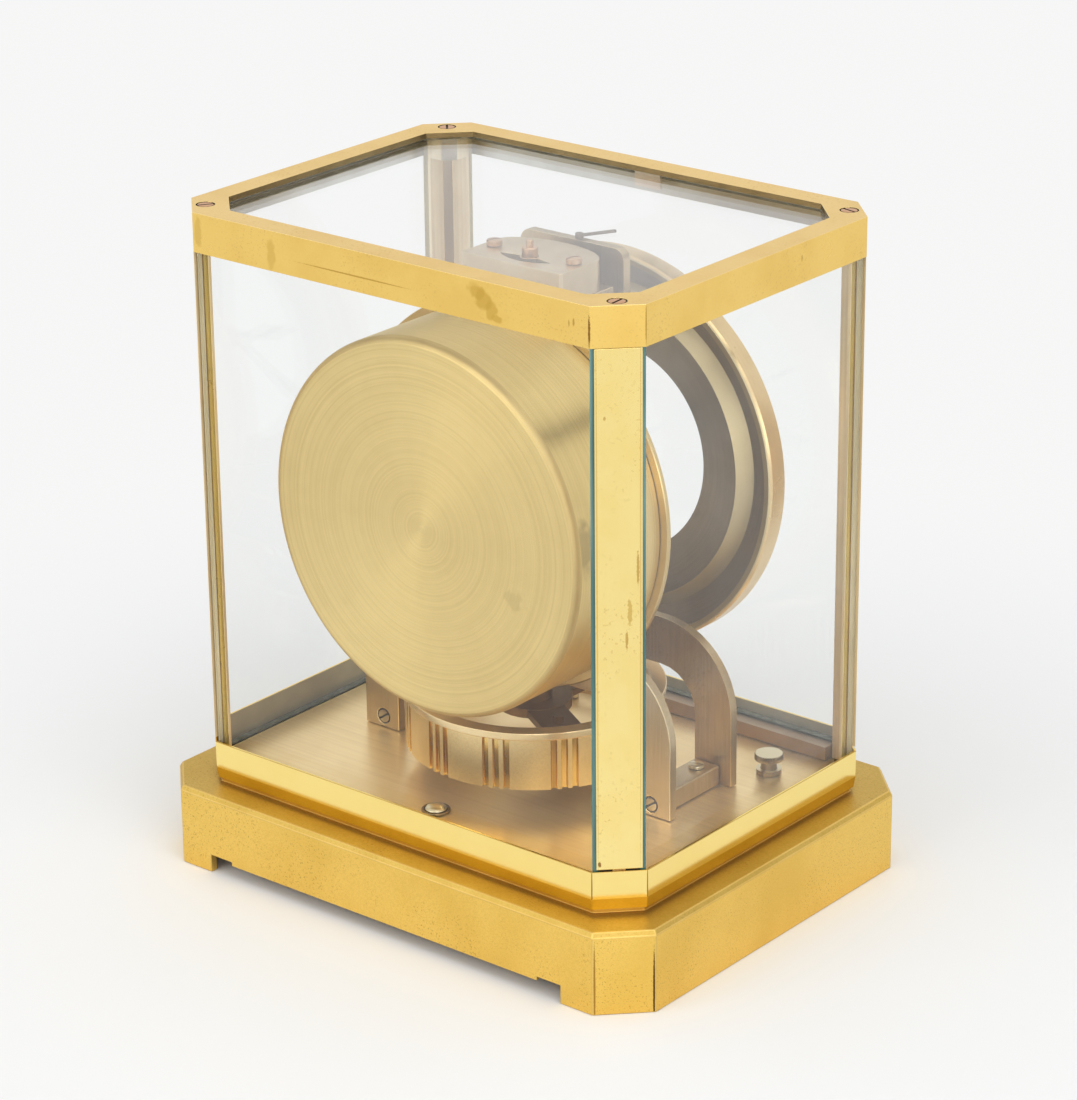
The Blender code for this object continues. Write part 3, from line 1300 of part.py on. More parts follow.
def hand_outline(length, angle):
    """Pointed leaf-shaped hand, its angle measured clockwise from twelve as seen from -Y."""
    wide = length * hand_wide_share
    shape = [(-hand_neck_half, 0.0), (-hand_neck_half, wide / 2), (-hand_wide_half, wide),
             (0.0, length), (hand_wide_half, wide), (hand_neck_half, wide / 2),
             (hand_neck_half, 0.0)]
    return [(x, drum_z + z) for x, z in turned(shape, -angle)]


join(hour_hand, rod(pipe_radius, hour_hand_y, hour_wheel_y + motion_thickness / 2, hour_spot, "Y"))
join(hour_hand, prism(hand_outline(hour_hand_length, hour_hand_angle), hour_hand_y + hand_boss_rise,
                      hour_hand_y + hand_thickness, "Y"))
join(hour_hand, rod(hand_boss_radius, hour_hand_y - hand_boss_rise,
                    hour_hand_y + hand_thickness + hand_boss_rise, hour_spot, "Y"))
cut(hour_hand, rod(pipe_radius - pipe_wall, hour_hand_y - cut_overrun,
                   hour_wheel_y + motion_thickness + cut_overrun, hour_spot, "Y"))
minute_hand = finish("minute_hand", rod(
    hand_boss_radius, minute_hand_y - hand_boss_rise, minute_hand_y + hand_thickness
    + hand_boss_rise, hour_spot, "Y"), "dark_hand", hour_spot)
join(minute_hand, prism(hand_outline(minute_hand_length, minute_hand_angle), minute_hand_y,
                        minute_hand_y + hand_thickness, "Y"))
cut(minute_hand, rod(centre_arbor_radius + seat_gap, minute_hand_y - cut_overrun,
                     minute_hand_y + cut_overrun, hour_spot, "Y"))
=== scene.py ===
"""Looks of the atmospheric clock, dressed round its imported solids.

Lengths are metres in the frame of the solids: +Z is up, the dial faces -Y and the drum faces +Y.
"""
import json
import logging
import math
from dataclasses import dataclass, field
from enum import Enum
from typing import Callable, Mapping, Optional, Sequence, Union

import bmesh
import bpy
from mathutils import Matrix, Vector


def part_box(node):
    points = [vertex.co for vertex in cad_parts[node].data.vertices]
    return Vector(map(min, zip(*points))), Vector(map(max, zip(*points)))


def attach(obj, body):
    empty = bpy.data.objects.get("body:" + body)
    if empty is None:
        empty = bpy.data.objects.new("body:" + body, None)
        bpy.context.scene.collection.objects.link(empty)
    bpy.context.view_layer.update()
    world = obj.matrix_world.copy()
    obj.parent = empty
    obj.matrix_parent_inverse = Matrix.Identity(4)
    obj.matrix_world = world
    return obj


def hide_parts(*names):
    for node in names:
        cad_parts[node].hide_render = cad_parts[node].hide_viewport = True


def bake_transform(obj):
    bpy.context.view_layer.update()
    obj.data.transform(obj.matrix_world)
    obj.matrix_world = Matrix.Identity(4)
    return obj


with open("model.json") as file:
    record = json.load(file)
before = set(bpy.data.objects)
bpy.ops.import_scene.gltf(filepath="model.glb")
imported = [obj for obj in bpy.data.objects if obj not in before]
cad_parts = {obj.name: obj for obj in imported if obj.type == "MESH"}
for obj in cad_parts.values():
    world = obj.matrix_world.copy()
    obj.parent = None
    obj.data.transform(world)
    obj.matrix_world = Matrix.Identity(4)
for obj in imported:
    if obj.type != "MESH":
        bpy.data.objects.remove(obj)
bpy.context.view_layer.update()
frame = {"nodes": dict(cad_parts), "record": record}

log = logging.getLogger("clock")

Colour = tuple[float, float, float]
Point = tuple[float, float, float]
Pair = tuple[float, float]
Profile = tuple[Pair, ...]
Cloud = tuple[float, ...]
Socket = bpy.types.NodeSocket
Value = Union[float, Socket]
Inputs = Mapping[Union[str, int], object]
Face = bmesh.types.BMFace
FacePick = Callable[[Face], int]

MERGE = 1e-6
CLEARANCE = 0.0003
FLAT = math.radians(0.6)
DRUM_CENTRE = (0.0, 0.0, 0.138)
BALANCE_CENTRE = (0.0, -0.002, 0.0)
LEVEL_CENTRE = (0.0, -0.0546, 0.0)
DUST = (0.62, 0.58, 0.52)


class Axis(Enum):
    """Direction that a form is turned about."""

    X = 0
    Y = 1
    Z = 2

    def vector(self) -> Vector:
        """Unit vector of the axis."""
        return Vector([float(i == self.value) for i in range(3)])


class Grain(Enum):
    """Way that a metal surface was worked."""

    SANDED = "sanded"
    BRUSHED_X = "brushed along X"
    BRUSHED_Z = "brushed along Z"
    TURNED = "turned on a lathe"


BRUSH_AXES = {Grain.BRUSHED_X: Axis.X, Grain.BRUSHED_Z: Axis.Z}


class Nodes:
    """Node tree with short ways to add its nodes."""

    def __init__(self, tree: bpy.types.NodeTree) -> None:
        """Take over a tree."""
        self.tree = tree

    def add(self, kind: str, inputs: Optional[Inputs] = None, **settings: object) -> bpy.types.Node:
        """Add a node.

        Args:
            kind: Type of the node.
            inputs: Sockets or plain values for its inputs, by name or index.
            settings: Its properties.

        Returns:
            The node.
        """
        node = self.tree.nodes.new(kind)
        for key, value in settings.items():
            setattr(node, key, value)
        self.feed(node, inputs or {})
        return node

    def feed(self, node: bpy.types.Node, inputs: Inputs) -> None:
        """Link a node's inputs to sockets, or set their plain values.

        Args:
            node: The node.
            inputs: Sockets or plain values, by the input's name or index.
        """
        for key, value in inputs.items():
            socket = node.inputs[key]
            if isinstance(value, bpy.types.NodeSocket):
                self.tree.links.new(value, socket)
            elif socket.type == "RGBA":
                socket.default_value = (*value, 1.0)
            else:
                socket.default_value = value

    def math(self, operation: str, *values: Value) -> Socket:
        """Result of a Math node."""
        return self.add("ShaderNodeMath", dict(enumerate(values)), operation=operation).outputs[0]

    def blend(self, factor: Value, first: object, second: object) -> Socket:
        """Colour mixed from two colours."""
        inputs = {0: factor, 6: first, 7: second}
        return self.add("ShaderNodeMix", inputs, data_type="RGBA").outputs[2]

    def any_ray(self, *kinds: str) -> Socket:
        """Tell rays of some kinds from the rest.

        Args:
            kinds: Kinds of ray, as the Light Path node names them.

        Returns:
            1 for a ray of one of the kinds, 0 for another.
        """
        rays = self.add("ShaderNodeLightPath")
        found, *others = (rays.outputs["Is %s Ray" % kind] for kind in kinds)
        for other in others:
            found = self.math("MAXIMUM", found, other)
        return found


class Shading(Nodes):
    """Node tree of one material."""

    def __init__(self, name: str) -> None:
        """Start a material that holds one Principled shader.

        Args:
            name: Name of the material.
        """
        self.material = bpy.data.materials.new(name)
        self.material.use_nodes = True
        super().__init__(self.material.node_tree)
        self.shader = self.tree.nodes["Principled BSDF"]
        self.output = self.tree.nodes["Material Output"]
        self.place = self.add("ShaderNodeTexCoord").outputs["Object"]
        self.normal = self.add("ShaderNodeNewGeometry").outputs["Normal"]

    def vector(self, operation: str, *values: object) -> Socket:
        """Result of a Vector Math node."""
        node = self.add("ShaderNodeVectorMath", dict(enumerate(values)), operation=operation)
        return node.outputs["Value" if operation == "LENGTH" else "Vector"]

    def noise(self, vector: Socket, scale: float, detail: float = 2.0, rough: float = 0.5) -> Socket:
        """Value of a Noise texture, about one half on average."""
        inputs = {"Vector": vector, "Scale": scale, "Detail": detail, "Roughness": rough}
        return self.add("ShaderNodeTexNoise", inputs).outputs[0]

    def step(self, value: Value, low: float, high: float, top: float = 1.0) -> Socket:
        """Smooth step from 0 at one value to the top at another."""
        inputs = {"Value": value, "From Min": low, "From Max": high, "To Max": top}
        return self.add("ShaderNodeMapRange", inputs, interpolation_type="SMOOTHSTEP").outputs[0]

    def cloud(self, scale: float, detail: float, low: float, high: float,
              top: float = 1.0) -> Socket:
        """Patches of noise with soft edges, from 0 to the top."""
        return self.step(self.noise(self.place, scale, detail), low, high, top)

    def parts(self, vector: Socket) -> list[Socket]:
        """X, Y and Z of a vector."""
        return list(self.add("ShaderNodeSeparateXYZ", {0: vector}).outputs)

    def joined(self, *sides: Value) -> Socket:
        """Vector from its X, Y and Z."""
        return self.add("ShaderNodeCombineXYZ", dict(enumerate(sides))).outputs[0]

    def distance(self, *sides: Value) -> Socket:
        """Distance from the two sides of a right angle."""
        squares = [self.math("MULTIPLY", side, side) for side in sides]
        return self.math("SQRT", self.math("ADD", *squares))

    def bump(self, height: Socket, distance: float) -> Socket:
        """Normal bent by a height field."""
        return self.add("ShaderNodeBump", {"Height": height, "Distance": distance}).outputs[0]

    def world_vector(self, vector: Socket) -> Socket:
        """Object vector turned to world axes."""
        return self.add("ShaderNodeVectorTransform", {0: vector}, vector_type="VECTOR",
                        convert_from="OBJECT", convert_to="WORLD").outputs[0]

    def shader_mix(self, share: Value, first: bpy.types.Node,
                   second: bpy.types.Node) -> bpy.types.Node:
        """Mix of two shaders."""
        inputs = {0: share, 1: first.outputs[0], 2: second.outputs[0]}
        return self.add("ShaderNodeMixShader", inputs)

    def surfaced(self, shader: bpy.types.Node) -> bpy.types.Material:
        """The material, with a shader on its surface."""
        self.feed(self.output, {"Surface": shader.outputs[0]})
        return self.material

    def dressed(self, **inputs: object) -> bpy.types.Material:
        """The material, with inputs of the Principled shader by their names without spaces."""
        self.feed(self.shader, {key.replace("_", " "): value for key, value in inputs.items()})
        return self.material


@dataclass(frozen=True)
class Mark:
    """Stain, smudge or scratch: a soft ellipsoid that discolours what lies inside it."""

    place: Point
    size: Point
    colour: Colour
    strength: float
    ragged: float
    core: float = 0.55
    break_up: float = 0.7

    def lay(self, tree: Shading, colour: Socket) -> Socket:
        """Mix the mark's colour over another.

        Args:
            tree: Node tree of the finish.
            colour: Colour below the mark.

        Returns:
            The marked colour.
        """
        scaled = tree.vector("DIVIDE", tree.vector("SUBTRACT", tree.place, self.place), self.size)
        broken = tree.noise(tree.place, self.break_up / min(self.size))
        reach = tree.math("MULTIPLY_ADD", broken, self.ragged * 2.0, tree.vector("LENGTH", scaled))
        inside = tree.step(reach, 1.0 + self.ragged, self.core + self.ragged, self.strength)
        return tree.blend(inside, colour, self.colour)


@dataclass(frozen=True)
class Metal:
    """Worked metal with mottling, grain, pits and marks."""

    name: str
    colour: Colour
    shade: Colour
    roughness: float = 0.3
    rough_spread: float = 0.1
    grain: Grain = Grain.SANDED
    grain_across: float = 2200.0
    grain_along: float = 25.0
    grain_depth: float = 0.000004
    grain_band: Pair = (0.35, 0.75)
    grain_tint: float = 0.12
    anisotropy: float = 0.0
    metallic: float = 1.0
    turned_about: Axis = Axis.Y
    turned_centre: Point = DRUM_CENTRE
    mottle_scale: float = 35.0
    mottle_band: Pair = (0.38, 0.68)
    mottle_share: float = 0.45
    pits: float = 0.0
    pit_scale: float = 1100.0
    pit_band: Pair = (0.62, 0.70)
    pit_patches: Cloud = (40.0, 2.0, 0.40, 0.60)
    pit_colour: Colour = (0.16, 0.08, 0.02)
    pit_depth: float = 3.0
    pit_dulling: float = 0.35
    dust: float = 0.0
    dust_dulling: float = 0.4
    specks: Cloud = (1400.0, 1.0, 0.68, 0.76)
    veil: Point = (0.3, 0.8, 0.35)
    rings: float = 0.0
    ring_scale: float = 2000.0
    ring_band: Pair = (0.46, 0.58)
    ring_drift: float = 14.0
    # rays of painted reflection across a turned face
    ray_scale: float = 11.0
    ray_bands: tuple[Pair, Pair] = ((0.25, 0.7), (0.45, 0.65))
    ray_share: float = 0.35
    marks: tuple[Mark, ...] = ()

    def arm(self, tree: Shading) -> tuple[Socket, list[Socket], Socket]:
        """Arm from the turning centre.

        Args:
            tree: Node tree of the finish.

        Returns:
            Its vector, its two sides across the axis, and its height along the axis.
        """
        arm = tree.vector("SUBTRACT", tree.place, self.turned_centre)
        sides = tree.parts(arm)
        along = sides.pop(self.turned_about.value)
        return arm, sides, along

    def ringed(self, tree: Shading, colour: Socket) -> Socket:
        """Darken a turned face in uneven rings, which are turning marks, and in faint rays from its
        centre, which are painted reflection of the turned face's fan of sheen.

        Args:
            tree: Node tree of the finish.
            colour: Colour below the rings.

        Returns:
            The ringed colour.
        """
        arm, sides, along = self.arm(tree)
        spread = tree.joined(tree.math("MULTIPLY", tree.distance(*sides), self.ring_scale),
                             tree.math("MULTIPLY", along, self.ring_scale), 0.0)
        drift = tree.vector("MULTIPLY", arm, (self.ring_drift,) * 3)
        ring = tree.noise(tree.vector("ADD", spread, drift), 1.0, 4.0, 0.7)
        # painted reflection: sectors that fan out from the centre and also gate the rings
        ray = tree.noise(tree.vector("NORMALIZE", arm), self.ray_scale, 3.0, 0.6)
        wide, narrow = (tree.step(ray, *band) for band in self.ray_bands)
        whole = tree.math("MULTIPLY", tree.step(ring, *self.ring_band), wide)
        whole = tree.math("MULTIPLY_ADD", narrow, self.ray_share, whole)
        return tree.blend(tree.math("MULTIPLY", whole, self.rings), colour, self.shade)

    def field(self, tree: Shading) -> Socket:
        """Height of the worked grain.

        Args:
            tree: Node tree of the finish.

        Returns:
            The height, from 0 to 1.
        """
        if self.grain is Grain.TURNED:
            _, sides, along = self.arm(tree)
            spread = tree.joined(tree.math("MULTIPLY", tree.distance(*sides), self.grain_across),
                                 tree.math("MULTIPLY", along, self.grain_across),
                                 tree.math("MULTIPLY", sides[0], self.grain_along))
            return tree.noise(spread, 1.0, 3.0, 0.65)
        if self.grain is Grain.SANDED:
            return tree.noise(tree.place, self.grain_across, 2.0, 0.6)
        stretch = [self.grain_across] * 3
        stretch[BRUSH_AXES[self.grain].value] = self.grain_along
        return tree.noise(tree.vector("MULTIPLY", tree.place, tuple(stretch)), 1.0, 3.0, 0.6)

    def tangent(self, tree: Shading) -> Socket:
        """Direction across the grain, within the surface.

        Args:
            tree: Node tree of the finish.

        Returns:
            The direction, in world axes.
        """
        if self.grain is Grain.TURNED:
            arm = tree.vector("SUBTRACT", tree.place, self.turned_centre)
            line = tree.vector("CROSS_PRODUCT", tuple(self.turned_about.vector()), arm)
        else:
            line = tree.joined(*BRUSH_AXES[self.grain].vector())
        across = tree.vector("CROSS_PRODUCT", tree.normal, tree.world_vector(line))
        return tree.vector("NORMALIZE", across)

    def make(self) -> bpy.types.Material:
        """Build the material.

        Returns:
            The finished material.
        """
        tree = Shading(self.name)
        slow = tree.noise(tree.place, self.mottle_scale, 4.0, 0.55)
        height = grain = self.field(tree)
        mottle = tree.step(slow, *self.mottle_band, self.mottle_share)
        colour = tree.blend(mottle, self.colour, self.shade)
        tint = tree.step(grain, *self.grain_band, self.grain_tint)
        colour = tree.blend(tint, colour, self.shade)
        if self.rings:
            colour = self.ringed(tree, colour)
        dullest = self.roughness - self.rough_spread / 2
        roughness = tree.math("MULTIPLY_ADD", slow, self.rough_spread, dullest)
        if self.pits:
            spot = tree.cloud(self.pit_scale, 1.0, *self.pit_band)
            pit = tree.math("MULTIPLY", spot, tree.cloud(*self.pit_patches))
            pit = tree.math("MULTIPLY", pit, self.pits)
            colour = tree.blend(pit, colour, self.pit_colour)
            roughness = tree.math("MULTIPLY_ADD", pit, self.pit_dulling, roughness)
            height = tree.math("MULTIPLY_ADD", pit, -self.pit_depth, grain)
        if self.dust:
            dusty = tree.math("ADD", tree.cloud(*self.specks), tree.step(slow, *self.veil))
            dusty = tree.math("MULTIPLY", dusty, self.dust)
            colour = tree.blend(dusty, colour, DUST)
            roughness = tree.math("MULTIPLY_ADD", dusty, self.dust_dulling, roughness)
        for mark in self.marks:
            colour = mark.lay(tree, colour)
        if self.anisotropy:
            tree.dressed(Anisotropic=self.anisotropy, Tangent=self.tangent(tree))
        return tree.dressed(Metallic=self.metallic, Base_Color=colour, Roughness=roughness,
                            Normal=tree.bump(height, self.grain_depth))


@dataclass(frozen=True)
class Coat:
    """Painted or enamelled metal with a faint orange peel, and flat painted shade laid in gaps."""

    name: str
    colour: Colour
    shade: Colour
    roughness: float
    rough_spread: float = 0.12
    mottle: Cloud = (60.0, 3.0, 0.35, 0.7, 0.5)
    peel_scale: float = 900.0
    peel_depth: float = 0.00001
    hours: bool = False
    ink: Colour = (0.035, 0.03, 0.028)
    hour_band: Pair = (0.0405, 0.0500)
    hour_width: float = 0.0016
    minute_band: Pair = (0.0512, 0.0524)
    minute_width: float = 0.0005
    blur: float = 0.00008

    def strokes(self, tree: Shading, count: int, band: Pair, width: float) -> Socket:
        """Share of printed strokes at even angles round the dial.

        Args:
            tree: Node tree of the finish.
            count: Number of strokes.
            band: Inner and outer radius.
            width: Width of a stroke.

        Returns:
            1 inside a stroke and 0 beside it.
        """
        x, _, z = tree.parts(tree.vector("SUBTRACT", tree.place, DRUM_CENTRE))
        radius = tree.distance(x, z)
        turn = tree.math("MULTIPLY", tree.math("ARCTAN2", x, z), count / math.tau)
        off = tree.math("ABSOLUTE", tree.math("SUBTRACT", turn, tree.math("ROUND", turn)))
        across = tree.math("MULTIPLY", tree.math("MULTIPLY", off, math.tau / count), radius)
        inside = tree.step(across, width / 2 + self.blur, width / 2)
        inner = tree.step(radius, band[0] - self.blur, band[0])
        outer = tree.step(radius, band[1] + self.blur, band[1])
        return tree.math("MULTIPLY", tree.math("MULTIPLY", inside, inner), outer)

    def make(self) -> bpy.types.Material:
        """Build the material.

        Returns:
            The finished material.
        """
        tree = Shading(self.name)
        peel = tree.noise(tree.place, self.peel_scale)
        colour = tree.blend(tree.cloud(*self.mottle), self.colour, self.shade)
        if self.hours:
            hours = self.strokes(tree, 12, self.hour_band, self.hour_width)
            minutes = self.strokes(tree, 60, self.minute_band, self.minute_width)
            colour = tree.blend(tree.math("MAXIMUM", hours, minutes), colour, self.ink)
        least = self.roughness - self.rough_spread / 2
        roughness = tree.math("MULTIPLY_ADD", peel, self.rough_spread, least)
        return tree.dressed(Base_Color=colour, Roughness=roughness,
                            Normal=tree.bump(peel, self.peel_depth))


@dataclass(frozen=True)
class Pane:
    """Thin clear pane that doesn't shift what is behind it."""

    name: str
    tint: Colour = (0.994, 0.998, 0.996)
    sheen: Colour = (0.98, 0.99, 0.985)
    film: Colour = (0.85, 0.86, 0.84)
    dust: float = 0.03
    veil: float = 0.0
    face_on: float = 0.025
    slanted: float = 0.85
    falloff: float = 5.0
    gloss: float = 0.015
    patches: Cloud = (45.0, 2.0, 0.40, 0.62)
    specks: Cloud = (2400.0, 0.0, 0.70, 0.76)
    smears: Cloud = (12.0, 3.0, 0.2, 0.8)

    def make(self) -> bpy.types.Material:
        """Build the material: a clear film under a mirror that grows at a slant, and dust.

        Returns:
            The finished material.
        """
        tree = Shading(self.name)
        tree.tree.nodes.remove(tree.shader)
        clear = tree.add("ShaderNodeBsdfTransparent", {"Color": self.tint})
        mirror = tree.add("ShaderNodeBsdfAnisotropic",
                          {"Color": self.sheen, "Roughness": self.gloss})
        slant = tree.add("ShaderNodeLayerWeight", {"Blend": 0.5}).outputs["Facing"]
        slant = tree.math("POWER", slant, self.falloff)
        share = tree.math("MULTIPLY_ADD", slant, self.slanted, self.face_on)
        film = tree.add("ShaderNodeBsdfDiffuse", {"Color": self.film})
        dirty = tree.math("MULTIPLY", tree.cloud(*self.specks), tree.cloud(*self.patches))
        dirty = tree.math("MULTIPLY_ADD", dirty, self.dust, tree.cloud(*self.smears, self.veil))
        return tree.surfaced(tree.shader_mix(dirty, tree.shader_mix(share, clear, mirror), film))


@dataclass(frozen=True)
class PaneEdge:
    """Ground edge of a pane, where the glass shows its green."""

    name: str = "glass_edge_green"
    colour: Colour = (0.055, 0.15, 0.14)
    pale: Colour = (0.20, 0.36, 0.34)
    stretch: Point = (300.0, 300.0, 20.0)
    depth: float = 0.000008

    def make(self) -> bpy.types.Material:
        """Build the material.

        Returns:
            The finished material.
        """
        tree = Shading(self.name)
        streak = tree.noise(tree.vector("MULTIPLY", tree.place, self.stretch), 1.0)
        colour = tree.blend(tree.step(streak, 0.4, 0.75, 0.6), self.colour, self.pale)
        return tree.dressed(Base_Color=colour, Roughness=0.12, Specular_IOR_Level=0.6,
                            Normal=tree.bump(streak, self.depth))


@dataclass(frozen=True)
class TopPane:
    """Clear glass that bends what is seen through it, and lets the lamps through."""

    name: str = "glass_top"
    colour: Colour = (0.993, 0.997, 0.995)
    shadow: Colour = (0.96, 0.975, 0.97)
    refraction: float = 1.5
    smears: Cloud = (18.0, 3.0, 0.5, 0.9, 0.02)

    def make(self) -> bpy.types.Material:
        """Build the material.

        Returns:
            The finished material.
        """
        tree = Shading(self.name)
        tree.dressed(Base_Color=self.colour, Roughness=tree.cloud(*self.smears),
                     IOR=self.refraction, Transmission_Weight=1.0)
        clear = tree.add("ShaderNodeBsdfTransparent", {"Color": self.shadow})
        return tree.surfaced(tree.shader_mix(tree.any_ray("Shadow", "Diffuse"), tree.shader, clear))


MarkRow = tuple[Point, Point, Colour, float, float]
TARNISH = (0.66, 0.41, 0.075)
SEAM = (0.25, 0.12, 0.02)
# amber lines along both edges of the near post's face
EDGE_AMBER = (0.74, 0.48, 0.12)
NICK = (0.42, 0.24, 0.04)
SCRATCH = (0.56, 0.34, 0.07)


def marks(*rows: MarkRow) -> tuple[Mark, ...]:
    """Marks from rows of place, size, colour, strength and raggedness."""
    return tuple(Mark(*row) for row in rows)


def turned(*first: object, **rest: object) -> Metal:
    """Metal turned on a lathe, about the drum's axis unless told otherwise."""
    usual = {"grain": Grain.TURNED, "grain_across": 1500.0, "grain_along": 6.0, "grain_tint": 0.2}
    return Metal(*first, **{**usual, **rest})


BASE_MARKS = marks(
    ((-0.0918, 0.0809, 0.010), (0.00042, 0.00042, 0.0190), (0.30, 0.15, 0.02), 0.8, 0.25),
    ((-0.10545, 0.06725, 0.008), (0.00042, 0.00042, 0.0185), (0.08, 0.035, 0.01), 0.95, 0.25))
BAND_MARKS = marks(
    ((-0.08325, 0.0713, 0.0385), (0.00028, 0.0003, 0.0105), SEAM, 0.9, 0.2),
    ((-0.09605, 0.0585, 0.0385), (0.0003, 0.00028, 0.0105), SEAM, 0.9, 0.2))
FRAME_MARKS = marks(
    ((-0.0385, 0.0711, 0.2312), (0.0036, 0.004, 0.0030), TARNISH, 0.7, 0.75),
    ((-0.0418, 0.0711, 0.2291), (0.0046, 0.004, 0.0038), TARNISH, 0.75, 0.75),
    ((-0.0448, 0.0711, 0.2262), (0.0028, 0.004, 0.0038), TARNISH, 0.7, 0.75),
    ((-0.0466, 0.0711, 0.2240), (0.0026, 0.004, 0.0016), TARNISH, 0.7, 0.6),
    ((0.0483, 0.0711, 0.2272), (0.0024, 0.004, 0.0062), (0.68, 0.44, 0.09), 0.55, 0.5),
    ((0.0810, 0.0711, 0.2285), (0.0020, 0.004, 0.0060), (0.66, 0.42, 0.09), 0.5, 0.5),
    ((0.0125, 0.0711, 0.2266), (0.0290, 0.004, 0.00032), (0.48, 0.27, 0.04), 0.75, 0.25),
    ((-0.0832, 0.0711, 0.2270), (0.00045, 0.0008, 0.0066), (0.22, 0.09, 0.015), 0.9, 0.4),
    ((-0.0956, 0.0588, 0.2285), (0.0004, 0.00030, 0.0080), (0.45, 0.26, 0.04), 0.8, 0.2),
    ((-0.0772, 0.0711, 0.2287), (0.0005, 0.002, 0.0016), NICK, 0.7, 0.3),
    ((-0.0754, 0.0711, 0.2281), (0.0003, 0.002, 0.0014), NICK, 0.7, 0.3),
    ((-0.0957, -0.0223, 0.2298), (0.002, 0.0003, 0.0014), (0.34, 0.18, 0.03), 0.8, 0.2))
POST_MARKS = marks(
    ((-0.0939, 0.0607, 0.1490), (0.00050, 0.0006, 0.0075), SCRATCH, 0.75, 0.5),
    ((-0.0921, 0.0625, 0.1340), (0.0009, 0.0009, 0.0060), (0.66, 0.43, 0.10), 0.7, 0.7),
    ((-0.0914, 0.0632, 0.1250), (0.0005, 0.0006, 0.0040), SCRATCH, 0.75, 0.5),
    ((-0.0848, 0.0698, 0.1400), (0.00030, 0.0004, 0.1200), EDGE_AMBER, 0.6, 0.3),
    ((-0.0945, 0.0601, 0.1400), (0.0004, 0.00030, 0.1200), EDGE_AMBER, 0.6, 0.3),
    ((-0.0851, 0.0695, 0.0475), (0.0006, 0.0008, 0.0012), (0.28, 0.12, 0.02), 0.9, 0.5),
    ((-0.0866, 0.0680, 0.1988), (0.0005, 0.0006, 0.0008), (0.58, 0.36, 0.08), 0.7, 0.4))
DRUM_MARKS = marks(
    ((-0.0250, 0.0460, 0.2010), (0.0010, 0.0010, 0.0010), (0.30, 0.20, 0.08), 0.5, 0.8),
    ((-0.0290, 0.0500, 0.1996), (0.0007, 0.0010, 0.0009), (0.34, 0.22, 0.09), 0.5, 0.8),
    ((-0.0387, 0.0555, 0.1225), (0.0050, 0.003, 0.0042), (0.50, 0.37, 0.15), 0.3, 1.2),
    ((-0.0648, 0.0500, 0.1450), (0.006, 0.0050, 0.0100), (0.30, 0.22, 0.10), 0.5, 1.0))


